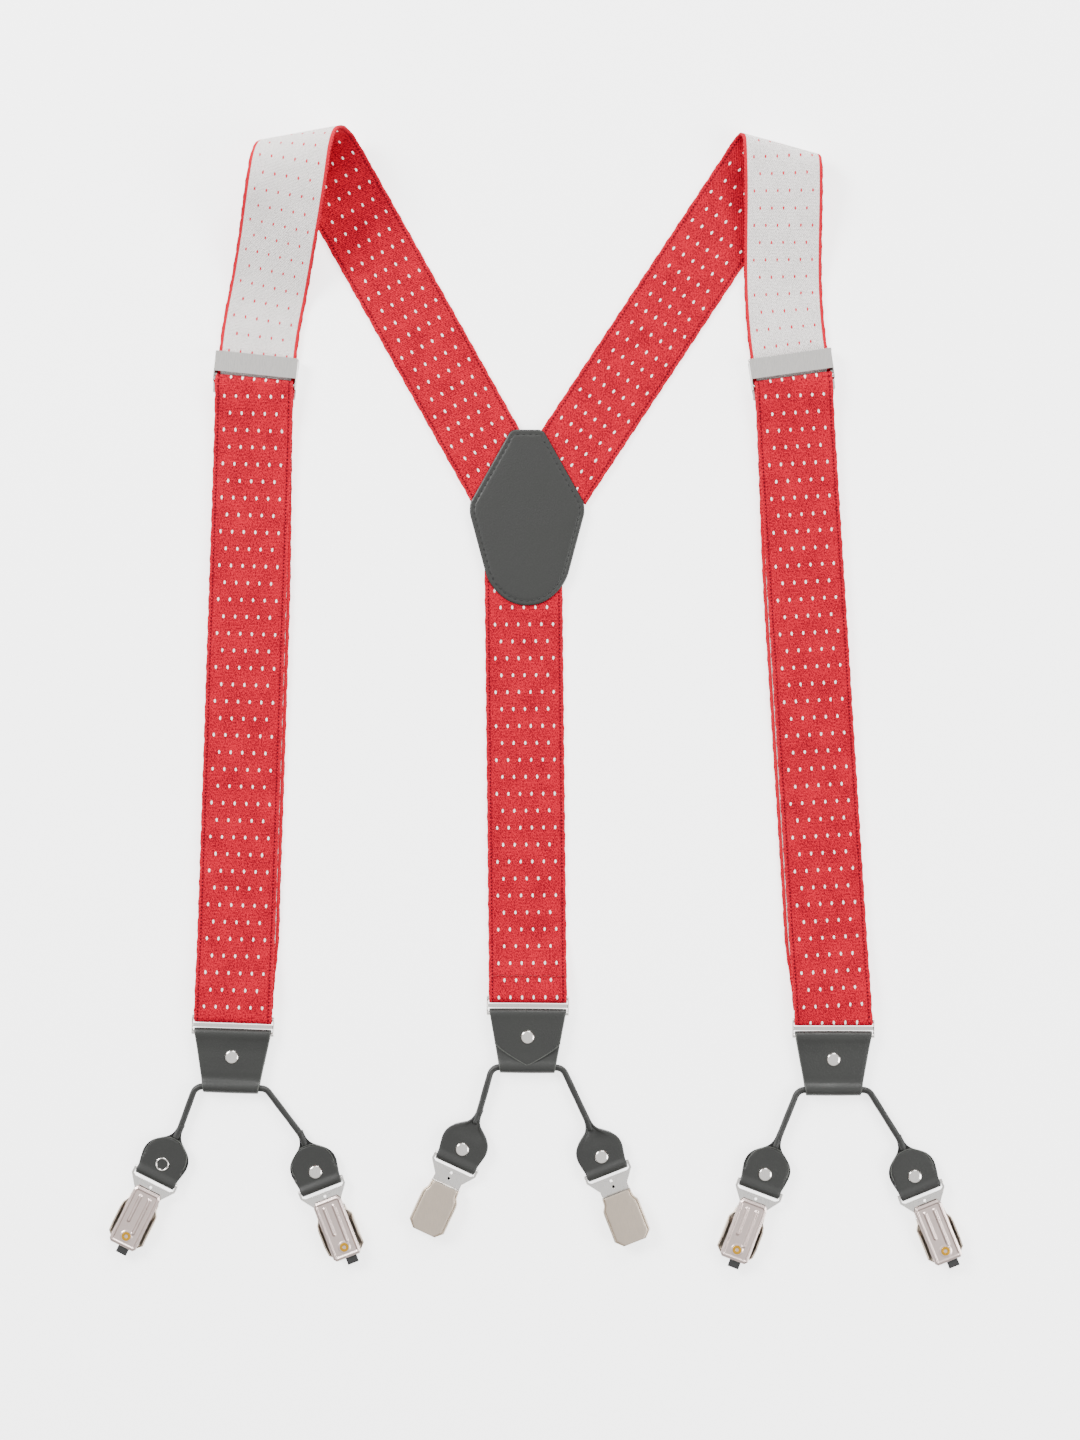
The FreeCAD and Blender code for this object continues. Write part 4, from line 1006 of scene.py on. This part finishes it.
def make_tab(end, half):
    """Leather strip folded round the ring and the cord, narrowing downwards, with a pointed flap."""
    bar_to_bar = np.linalg.norm(joint_at(end + "_tab_hinge") - joint_at(end + "_ring_hinge"))
    points, tip, top = tab_line(bar_to_bar, channel_y(end))
    across = np.tile([1.0, 0, 0], (len(points), 1))
    line, across = resample(points, across, 0.55)
    s = lengths(line)
    y = line[:, 1]
    share = (top - y) / TAB_LENGTH
    widths = half + (TAB_FOOT_WIDTH / 2 - half) * np.clip(share, 0, 1)
    shoulder = top - FLAP_STRAIGHT
    flap = s < (top - tip) * 0.8
    k = np.clip((shoulder - y) / (shoulder - tip), 0, 1)
    widths = np.where(flap, widths * (1 - 0.97 * k ** 1.55), widths)
    normal = unit(np.cross(across, direction(line)))
    outer = 1.0 if normal[3, 2] > 0 else -1.0
    share_x, out, height, slot = band_profile(17, TAB_LEATHER * 0.92)
    flat = np.clip(widths - TAB_LEATHER / 2, 0.05, None)[:, None]
    x = share_x * flat + out * np.clip(widths, 0, 1)[:, None]
    lift = height + 0.12 * np.cos(share_x * np.pi / 2) * outer
    rings = line[:, None] + across[:, None] * x[..., None] + normal[:, None] * lift[None, :, None]
    place = end_frame(end)
    # The tab's cut edges take the lighter edge leather: a painted highlight
    leather, edge = MATERIALS["leather"], MATERIALS["leather_edge"]
    piece = tube(end + "_folded_tab", place(rings), [leather, leather, edge], slot, 2)
    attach(piece, end + "_tab")
    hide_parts(end + "_tab")
    # Bead of lighter leather round the flap's tip: a painted highlight on its edge
    near = flap & (y <= shoulder)
    rim = line[near] + normal[near] * outer * TAB_LEATHER * 0.4
    reach = widths[near, None] * [1.0, 0, 0]
    round_tip = np.concatenate([(rim - reach)[::-1], (rim + reach)[1:]])
    edge_highlight_bead(end + "_tab_flap_edge_highlight", round_tip, place, end + "_tab")
    faces = ((TAB_LEATHER * 2 - 0.1, 1), (-TAB_LEATHER, -1))
    make_rivet(end + "_tab_rivet_caps", place, top - TAB_RIVET_DROP, faces, end + "_tab",
               end + "_tab_rivet")


def rivet_profile(open_centre):
    """Domed cap with a rolled rim; an open one is a ring round a sunken middle."""
    rise, rim = RIVET_CAP, RIVET_RADIUS
    if open_centre:
        return [(rim - 0.35, -0.3), (rim, -0.1), (rim, 0.12), (rim - 0.2, 0.4), (rim - 0.45, 0.5),
                (rim - 0.7, 0.42), (rim - 0.95, 0.1), (rim - 1.05, -0.25)]
    dome = [(rim * 0.93 * math.cos(t * math.pi / 2), 0.2 + (rise - 0.2) * math.sin(t * math.pi / 2))
            for t in np.linspace(0, 1, 9)]
    return [(rim - 0.4, -0.3), (rim, -0.1), (rim, 0.12)] + dome[:-1] + [(0.02, rise)]


def make_rivet(name, place, y, faces, body, node, open_centre=False):
    """Rivet caps on both faces of the leather, as one piece."""
    profile, parts = rivet_profile(open_centre), []
    for z, way in faces:
        def spot(points, z=z, way=way):
            return place(points * [1, way, way] + [0, y, z])
        parts.append(lathe("%s_%d" % (name, len(parts)), profile, spot, [MATERIALS["chrome"]]))
    piece = joined(name, parts)
    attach(piece, body)
    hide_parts(node)


def joined(name, parts):
    """Several meshes as one object."""
    mesh = bmesh.new()
    materials = list(parts[0].data.materials)
    for part in parts:
        mesh.from_mesh(part.data)
        old = part.data
        bpy.data.objects.remove(part)
        bpy.data.meshes.remove(old)
    data = bpy.data.meshes.new(name)
    mesh.to_mesh(data)
    mesh.free()
    for material in materials:
        data.materials.append(material)
    obj = bpy.data.objects.new(name, data)
    bpy.context.scene.collection.objects.link(obj)
    return obj


# ---- cord and tongues ----

def rounded_line(corners, radii):
    """Straight runs joined by tangent arcs, as an even run of points."""
    points = [corners[0]]
    for a, b, c, radius in zip(corners, corners[1:], corners[2:], radii):
        u, v = unit(a - b), unit(c - b)
        half = math.acos(np.clip(np.dot(u, v), -1, 1)) / 2
        cut = radius / math.tan(half)
        centre = b + unit(u + v) * (radius / math.sin(half))
        first, last = b + u * cut - centre, b + v * cut - centre
        t = np.linspace(0, 1, 9)[:, None]
        spread = math.acos(np.clip(np.dot(unit(first), unit(last)), -1, 1))
        arc = first * np.sin((1 - t) * spread) + last * np.sin(t * spread)
        points += list(centre + arc / math.sin(spread))
    points.append(corners[-1])
    line = np.array(points)
    knots = lengths(line)
    at = np.linspace(0, knots[-1], int(knots[-1] / CORD_STEP) + 1)
    return between(at, knots, line)


def make_cord(end, diameter):
    """Rolled leather cord through the tab's foot: a round section with the seam of its rolled edge."""
    place, channel = end_frame(end, 1), channel_y(end)
    corner = TAB_FOOT_WIDTH / 2 + CORD_OUT
    corners = [place([x, channel, 0]) for x in (-corner, corner)]
    necks, ends = ([leg_frame(end, leg, 1)([0, TONGUE_LENGTH - back, 0]) for leg in LEGS]
                   for back in (0, CORD_TUCK))
    route = [ends[0], necks[0], corners[0], corners[1], necks[1], ends[1]]
    line = rounded_line(route, [NECK_BEND, CORD_BEND, CORD_BEND, NECK_BEND])
    side = unit(np.cross(direction(line), UP))
    turn = full_turn(20)
    s = lengths(line)[:, None]
    seam = np.exp(-(np.angle(np.exp(1j * (turn - 1.2 - 0.25 * np.sin(s * 0.11)))) / 0.22) ** 2)
    r = diameter / 2 * (1 - 0.16 * seam + 0.02 * np.sin(s * 0.5 + 2 * turn))
    rings = line[:, None] + r[..., None] * (
        side[:, None] * np.cos(turn)[:, None] + UP * np.sin(turn)[:, None])
    piece = tube(end + "_rolled_cord", rings, [MATERIALS["smooth_leather"]])
    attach(piece, end + "_cord")
    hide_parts(end + "_cord")


TONGUE_SHAPE = (                # distance above the bail bar, half width
    (-2.1, 9.3), (-0.8, 9.55), (1.8, 9.6), (5.0, 10.2), (9.0, 10.7), (12.0, 10.1), (14.5, 8.5),
    (16.5, 6.2), (18.2, 4.0), (20.0, 2.5), (22.0, 1.75), (24.0, 1.5), (26.0, 1.45))


def edge_highlight_bead(name, line, place, body):
    """Painted highlight along the cut edge of a leather flap: a small circle of lighter leather carried along
    a line, upright to it.
    """
    along = direction(line)
    side = unit(np.cross(along, UP))
    up = np.cross(side, along)
    turn = full_turn(8)[:, None]
    rings = line[:, None] + BEAD_RADIUS * (side[:, None] * np.cos(turn) + up[:, None] * np.sin(turn))
    piece = tube(name, place(rings), [MATERIALS["leather_edge"]])
    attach(piece, body)


def make_tongue(end, leg):
    """Flat tongue that gathers into the cord. Its section goes from a flat superellipse to a circle;
    the inner side carries the turned-over flap and a hollow above it, the outer side three pleats."""
    keys = np.array(TONGUE_SHAPE)
    y = np.concatenate([np.linspace(-2.14, 0, 10), np.linspace(0.4, 26, 65)])
    width = through(keys[:, 1], keys[:, 0], y)[:, None]
    flat = ease((23.0 - y) / 9.0)[:, None]
    power = 2 + 8 * flat
    fold = np.sqrt(np.clip(2.16 ** 2 - np.clip(-y, 0, 2.15) ** 2, 0.01, None))
    outer = np.where(y < 0, fold, TONGUE_HALF_THICK + 0.76 * ease(1 - y / 3.2))[:, None]
    outer = outer * flat + 1.45 * (1 - flat)
    turn = full_turn(72)
    cosine, sine = np.cos(turn), np.sin(turn)
    x = width * np.sign(cosine) * np.abs(cosine) ** (2 / power)
    high = np.sign(sine) * np.abs(sine) ** (2 / power)
    above = y[:, None]
    gather = ease((above - 10.0) / 6.0) * ease((24.5 - above) / 4.0)
    pleat = np.zeros_like(x)
    for lean, depth in ((-0.42, 0.5), (0.05, 0.65), (0.5, 0.45)):
        pleat += depth * np.exp(-((x - lean * width) / (0.10 * width + 0.25)) ** 2)
    z_outer = np.maximum(outer - pleat * gather * 1.5, 0.2)
    in_flap = ease((FLAP_ROUND - np.hypot(x, np.clip(above - FLAP_CENTRE, 0, None))) / 0.35)
    hollow = gather * np.exp(-(x / (0.55 * width)) ** 2) * 0.75
    bare = np.where(above < 6, outer, outer * (0.25 + 0.75 * ease((above - 19.5) / 5.0)))
    z_inner = in_flap * outer + (1 - in_flap) * np.maximum(bare - hollow * 0.4, 0.15)
    z = np.where(high >= 0, high * z_outer, high * z_inner)
    rings = np.stack([x, np.broadcast_to(above, x.shape), z], axis=-1)
    place = leg_frame(end, leg)
    piece = tube("%s_tongue_%d" % (end, leg), place(rings),
                 [MATERIALS["smooth_leather"], MATERIALS["hollow_leather"]])
    # Faces of the hollow above the flap take the near-black leather: painted shade in the recess
    dark = (high < 0) & (in_flap < 0.5) & (above > FLAP_CENTRE) & (above < 23.5)
    slots = np.concatenate([dark[:-1].ravel(), np.zeros(2 * x.shape[1])]).astype(np.int32)
    piece.data.polygons.foreach_set("material_index", slots)
    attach(piece, end + "_cord")
    # Bead of lighter leather along the turned-over flap's round edge: a painted highlight on the step
    turn = np.linspace(-0.15, np.pi + 0.15, 61)
    arc_y = FLAP_CENTRE + FLAP_ROUND * np.sin(turn)
    reach = through(keys[:, 1], keys[:, 0], arc_y) - 0.3
    arc_x = np.clip(FLAP_ROUND * np.cos(turn), -reach, reach)
    arc = np.stack([arc_x, arc_y, np.full_like(turn, 0.1 - TONGUE_HALF_THICK)], axis=-1)
    edge_highlight_bead("%s_tongue_edge_%d" % (end, leg), arc, place, end + "_cord")
    faces = ((TONGUE_HALF_THICK, 1), (-TONGUE_HALF_THICK, -1))
    name = "%s_tongue_rivet_caps_%d" % (end, leg)
    make_rivet(name, place, TONGUE_RIVET, faces, end + "_cord", end + "_tongue_rivets",
               open_centre=(end, leg) == ("left", 1))


# ---- metal ----

def reshaped(data, place, change):
    """Move a mesh's points by a rule that works on their local coordinates, as one array."""
    points = np.empty(len(data.vertices) * 3)
    data.vertices.foreach_get("co", points)
    origin = place(np.zeros(3))
    axes = place(np.eye(3)) - origin
    local = (points.reshape(-1, 3) / MM - origin) @ axes.T
    change(local)
    data.vertices.foreach_set("co", ((origin + local @ axes) * MM).ravel())


def finished(node, material, bevel, place=None, change=None):
    """A node with merged points, eased edges and true flat faces, reshaped where a rule is given."""
    source = frame["nodes"][node]
    copy = source.data.copy()
    if change:
        reshaped(copy, place, change)
    mesh = bmesh.new()
    mesh.from_mesh(copy)
    bpy.data.meshes.remove(copy)
    bmesh.ops.remove_doubles(mesh, verts=mesh.verts, dist=1e-6)
    for edge in mesh.edges:
        edge.smooth = len(edge.link_faces) == 2 and edge.calc_face_angle(0) < SMOOTH_ANGLE
    for face in mesh.faces:
        face.smooth = True
    data = bpy.data.meshes.new(node + "_finish")
    mesh.to_mesh(data)
    mesh.free()
    data.materials.clear()
    data.materials.append(MATERIALS[material])
    for polygon in data.polygons:
        polygon.material_index = 0
    obj = bpy.data.objects.new(node + "_finish", data)
    bpy.context.scene.collection.objects.link(obj)
    edges = obj.modifiers.new("eased edges", "BEVEL")
    edges.width = bevel * MM
    edges.segments = 2
    edges.limit_method = "ANGLE"
    edges.angle_limit = SMOOTH_ANGLE
    edges.use_clamp_overlap = False
    weights = obj.modifiers.new("flat faces", "WEIGHTED_NORMAL")
    weights.keep_sharp = False
    body = source["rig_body"]
    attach(obj, body)
    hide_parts(node)


def make_cover(end, leg):
    """Clip's front plate: a channel section whose width and wall depth change along it."""
    y = np.concatenate([[COVER_TOP, COVER_TOP - 0.25], np.linspace(COVER_TOP - 0.9, COVER_FOOT + 3.4, 44),
                        np.linspace(COVER_FOOT + 3.0, COVER_FOOT + 0.4, 12), [COVER_FOOT + 0.15, COVER_FOOT]])
    width_keys = [(COVER_FOOT, 5.4), (COVER_FOOT + 3, 8.42), (COVER_FOOT + 3.2, COVER_HALF),
                  (-18.4, COVER_HALF), (-16.6, 8.3), (-14.9, 7.2), (-14.2, 6.9), (COVER_TOP, 6.7)]
    width = np.interp(y, *np.array(width_keys).T)[:, None]
    wall_keys = [(COVER_FOOT, 1.95), (-31.3, 1.9), (-30.6, 1.4), (-26.3, -1.9), (-18.6, -1.9), (-17.2, 0.5),
                 (-15.2, 0.5), (-13.9, -1.9), (COVER_TOP - 0.6, -0.4), (COVER_TOP, 0.2)]
    wall = np.interp(y, *np.array(wall_keys).T)[:, None]
    face = COVER_FACE
    inner = face - COVER_PLATE
    lip = 0.7 * ease((COVER_FOOT + 2.4 - y) / 0.4)[:, None]
    x = np.array([0, 6.0, 7.1, 7.3, 7.45, 7.6, 7.75, 8.2, 8.42, 8.5, 8.5, 8.45, 7.85, 7.75, 7.7, 7.4, 6.0, 0])
    top = np.array([face, face, face - 0.02, face - 0.12, face - 0.42, face - 0.3, face - 0.16, face - 0.2,
                    face - 0.34, face - 0.6])
    face_z = np.broadcast_to(top, (len(y), len(top)))
    inner_z = np.tile([inner - 0.25, inner], (len(y), 1))
    z = np.concatenate([face_z, wall + 0.12, wall, wall, wall + 0.1, inner_z, inner - lip, inner - lip],
                       axis=1)
    z[:, 10:14] = np.minimum(z[:, 10:14], inner - 0.05)
    x_right = x * width / COVER_HALF
    rings_x = np.concatenate([x_right, -x_right[:, -2:0:-1]], axis=1)
    rings_z = np.concatenate([z, z[:, -2:0:-1]], axis=1)
    end_round = 0.12 * (np.exp((COVER_FOOT - y) / 0.25) + np.exp((y - COVER_TOP) / 0.25))[:, None]
    rings_z = np.where(rings_z > inner + 0.1, rings_z - end_round, rings_z)
    rings = np.stack([rings_x, np.broadcast_to(y[:, None], rings_x.shape), rings_z], axis=-1)
    piece = tube("%s_cover_%d_plate" % (end, leg), leg_frame(end, leg)(rings), [MATERIALS["satin"]])
    sharpen(piece)
    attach(piece, "%s_cover_%d" % (end, leg))
    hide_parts("%s_cover_%d" % (end, leg))


def sharpen(piece):
    """Creases where two faces meet at a sharp angle."""
    mesh = bmesh.new()
    mesh.from_mesh(piece.data)
    for edge in mesh.edges:
        edge.smooth = len(edge.link_faces) < 2 or edge.calc_face_angle(0) < CREASE_ANGLE
    mesh.to_mesh(piece.data)
    mesh.free()


def make_jaw(end, leg):
    """Clip's back plate as a pressed sheet: a framed panel with two ribs and the ring round the eyelet."""
    y = np.concatenate([[JAW_TOP, JAW_TOP - 0.1], np.linspace(JAW_TOP - 0.35, COVER_FOOT + 0.35, 88),
                        [COVER_FOOT + 0.1, COVER_FOOT]])
    knots = [COVER_FOOT, COVER_FOOT + 1.2, JAW_TOP - 2, JAW_TOP]
    width = np.interp(y, knots, [5.4, JAW_HALF, JAW_HALF, 5.2])[:, None]
    u = np.concatenate([[-1, -0.985], np.linspace(-0.95, 0.95, 53), [0.985, 1]])
    x = u * width
    above = y[:, None]
    to_side = width - np.abs(x)
    to_end = np.minimum(JAW_TOP - above, above - COVER_FOOT)
    near = np.minimum(to_side, to_end)
    frame_rib = 0.42 * np.exp(-((near - 1.1) / 0.38) ** 2)
    panel = -0.2 * ease((near - 1.2) / 0.5)
    ribs = np.zeros_like(x)
    for centre, foot in ((-2.2, -27.0), (2.2, -22.5)):
        beyond = np.clip(np.maximum(above + 10.5, foot - above), 0, None)
        ribs = ribs + 0.62 * ease((0.95 - np.hypot(x - centre, beyond)) / 0.7)
    from_eyelet = np.hypot(x, above - EYELET_Y)
    pad = 0.3 * ease((2.9 - from_eyelet) / 0.5)
    rim = -0.16 * np.exp(-near / 0.12)
    relief = np.where(from_eyelet < 3.0, np.maximum(panel, pad - 0.22), panel) + frame_rib + ribs + rim
    outer = np.maximum(JAW_FACE - relief, JAW_FACE - 0.45)
    inner = np.full_like(outer, JAW_FACE + JAW_PLATE)
    grid_y = np.broadcast_to(above, x.shape)
    shown = np.stack([x, grid_y, outer], axis=-1)
    back = np.stack([x, grid_y, inner], axis=-1)[:, ::-1]
    rings = np.concatenate([shown, back], axis=1)
    plate = tube("%s_jaw_%d_sheet" % (end, leg), leg_frame(end, leg)(rings), [MATERIALS["jaw"]])
    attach(plate, "%s_jaw_%d" % (end, leg))
    finished("%s_back_jaw_%d" % (end, leg), "jaw", 0.06, leg_frame(end, leg), behind_sheet)


def behind_sheet(local):
    """Keep the jaw's own plate behind its pressed sheet, so that only the ears and the back show."""
    local[:, 2] = np.maximum(local[:, 2], JAW_FACE + SHEET_SHOWN)


def flush_pin(local):
    """End the bail's pin flush with the cover's narrow top."""
    low = local[:, 1] < PIN_ZONE
    local[low, 0] = np.clip(local[low, 0], -COVER_NECK, COVER_NECK)


def behind_foot(local):
    """End the grip pad inside the cover's foot."""
    local[:, 1] = np.maximum(local[:, 1], COVER_FOOT + 0.5)


def slim_sides(local):
    """Thin the ring's side bars from outside, where only a narrow strip of metal shows."""
    beyond = np.clip(np.abs(local[:, 0]) - RING_INSIDE, 0, None)
    local[:, 0] -= np.sign(local[:, 0]) * beyond * 0.6


def behind_flap(local):
    """Keep the adjuster frame's flanges under its flap."""
    local[:, 0] = np.clip(local[:, 0], -ADJUSTER_HALF, ADJUSTER_HALF)


# ---- stage ----

FLOOR_SIZE = 60.0           # metres
FLOOR_DROP = 0.0002
FLOOR_GLOW = 2.2
SKY_STRENGTH = 1.35
OVERHEAD, HORIZON, BEHIND = srgb(255, 255, 255), srgb(84, 72, 64), srgb(240, 240, 240)
LAMPS = (                       # name, place, size, watts
    ("key", (-1.3, 0.8, 1.2), 0.8, 62),
    ("fill", (1.5, -0.5, 1.1), 1.0, 34),
    ("back", (0.5, 1.7, 1.1), 1.0, 40))
EYE = (0.0058, -0.0907, 1.25)
LENS = 69.6


def make_stage():
    """Pale glowing floor, a sky, lamps from three sides, and the camera straight above.
    Light and reflections see a sky that darkens to the horizon; the camera sees a pale one."""
    bpy.ops.mesh.primitive_plane_add(size=FLOOR_SIZE)
    floor = bpy.context.object
    floor.name = "floor"
    floor.location.z = -FLOOR_DROP
    material = fresh("pale floor")
    tree = material.node_tree
    where = put(tree, "TexCoord").outputs["Object"]
    tone = blend_colour(tree, noise(tree, where, 3.0), srgb(243, 243, 243), srgb(247, 247, 247))
    surface(material, tone, 0.7, Emission_Strength=FLOOR_GLOW)
    floor.data.materials.append(material)
    world = bpy.data.worlds.new("studio")
    world.use_nodes = True
    sky = world.node_tree
    height = put(sky, "SeparateXYZ", [put(sky, "TexCoord").outputs["Generated"]]).outputs[2]
    shade = blend_colour(sky, ramp(sky, height, 0.1, 0.8), HORIZON, OVERHEAD)
    seen = put(sky, "LightPath").outputs["Is Camera Ray"]
    background = sky.nodes["Background"]
    sky.links.new(blend_colour(sky, seen, shade, BEHIND), background.inputs[0])
    background.inputs[1].default_value = SKY_STRENGTH
    bpy.context.scene.world = world
    for name, place, size, power in LAMPS:
        light = bpy.data.lights.new(name, "AREA")
        light.size = size
        light.energy = power
        lamp = bpy.data.objects.new(name, light)
        lamp.location = place
        aim = -lamp.location
        lamp.rotation_euler = aim.to_track_quat("-Z", "Y").to_euler()
        bpy.context.scene.collection.objects.link(lamp)
    camera = bpy.data.cameras.new("camera")
    camera.sensor_fit = "VERTICAL"
    camera.sensor_height = 36
    camera.lens = LENS
    camera.clip_start = 0.05
    eye = bpy.data.objects.new("camera", camera)
    eye.location = EYE
    bpy.context.scene.collection.objects.link(eye)
    bpy.context.scene.camera = eye


# ---- operators ----

def web_sizes():
    """Half width and thickness of the webbing."""
    sizes = bpy.context.scene.suspender_sizes
    return sizes.web_width / MM / 2, sizes.web_thick / MM


class SUSPENDERS_OT_stage(bpy.types.Operator):
    """Make the materials, floor, lights and camera"""
    bl_idname = "suspenders.stage"
    bl_label = "Stage and materials"

    def execute(self, context):
        make_stage()
        make_materials()
        return {"FINISHED"}


class SUSPENDERS_OT_webbing(bpy.types.Operator):
    """Make the elastic webbing and its seams"""
    bl_idname = "suspenders.webbing"
    bl_label = "Webbing"

    def execute(self, context):
        half, thick = web_sizes()
        for side in SIDES:
            used = make_upper_strap(side, half, thick)
            make_loop(side, half, thick, used)
            middle, down = adjuster_place(side)
            seam = middle + down * (ADJUSTER_BAR_DROP + SEAM_DROP)
            seam_z = WEB_Z_IN_ADJUSTER + 2 * thick + 0.25
            make_seam(side + "_seam", seam, down, seam_z, half, side + "_adjuster")
        make_rear_strap(half, thick)
        ring, down = joint_at("rear_ring_hinge"), ring_down("rear")
        seam = ring - down * REAR_SEAM_DROP
        make_seam("rear_seam", seam, down, ring[2] + thick * 1.6, half, "harness")
        return {"FINISHED"}


class SUSPENDERS_OT_leather(bpy.types.Operator):
    """Make the back patch, tabs, cords and tongues with their rivets"""
    bl_idname = "suspenders.leather"
    bl_label = "Leather"

    def execute(self, context):
        half = web_sizes()[0]
        make_patch("patch_top", "patch_front", PATCH_LEATHER + PATCH_GAP, 1)
        make_patch("patch_under", "patch_back", 0, -1)
        diameter = context.scene.suspender_sizes.cord_diameter / MM
        for end in ENDS:
            make_tab(end, half)
            make_cord(end, diameter)
            for leg in LEGS:
                make_tongue(end, leg)
        return {"FINISHED"}


class SUSPENDERS_OT_adjusters(bpy.types.Operator):
    """Finish the adjusters and the rings"""
    bl_idname = "suspenders.adjusters"
    bl_label = "Adjusters and rings"

    def execute(self, context):
        for side in SIDES:
            middle, down = adjuster_place(side)
            finished(side + "_adjuster_frame", "chrome", 0.12, local_frame(middle, down, 1),
                     behind_flap)
            finished(side + "_adjuster_flap", "chrome", 0.15)
        for end in ENDS:
            finished(end + "_ring", "chrome", 0.12, end_frame(end), slim_sides)
        return {"FINISHED"}


class SUSPENDERS_OT_clips(bpy.types.Operator):
    """Make the six clips"""
    bl_idname = "suspenders.clips"
    bl_label = "Clips"

    def execute(self, context):
        for end in ENDS:
            for leg in LEGS:
                place = leg_frame(end, leg)
                finished("%s_bail_%d" % (end, leg), "chrome", 0.1, place, flush_pin)
                make_cover(end, leg)
                make_jaw(end, leg)
                finished("%s_grip_pad_%d" % (end, leg), "rubber", 0.1, place,
                         behind_foot if end == "rear" else None)
                finished("%s_eyelet_%d" % (end, leg), "brass", 0.08)
        return {"FINISHED"}


STEPS = (SUSPENDERS_OT_stage, SUSPENDERS_OT_webbing, SUSPENDERS_OT_leather, SUSPENDERS_OT_adjusters,
         SUSPENDERS_OT_clips)


class SUSPENDERS_PT_panel(bpy.types.Panel):
    """Sizes, colours and steps of the suspenders"""
    bl_label = "Suspenders"
    bl_idname = "SUSPENDERS_PT_panel"
    bl_space_type = "VIEW_3D"
    bl_region_type = "UI"
    bl_category = "Suspenders"

    def draw(self, context):
        for group in (context.scene.suspender_sizes, context.scene.suspender_colours):
            for name in group.__annotations__:
                self.layout.prop(group, name)
        for step in STEPS:
            self.layout.operator(step.bl_idname)


CLASSES = (SuspenderSizes, SuspenderColours) + STEPS + (SUSPENDERS_PT_panel,)


def register():
    for cls in CLASSES:
        bpy.utils.register_class(cls)
    bpy.types.Scene.suspender_sizes = PointerProperty(type=SuspenderSizes)
    bpy.types.Scene.suspender_colours = PointerProperty(type=SuspenderColours)


def unregister():
    del bpy.types.Scene.suspender_colours
    del bpy.types.Scene.suspender_sizes
    for cls in reversed(CLASSES):
        bpy.utils.unregister_class(cls)


def main():
    register()
    for step in STEPS:
        area, _, name = step.bl_idname.partition(".")
        getattr(getattr(bpy.ops, area), name)()


if __name__ == "__main__":
    main()
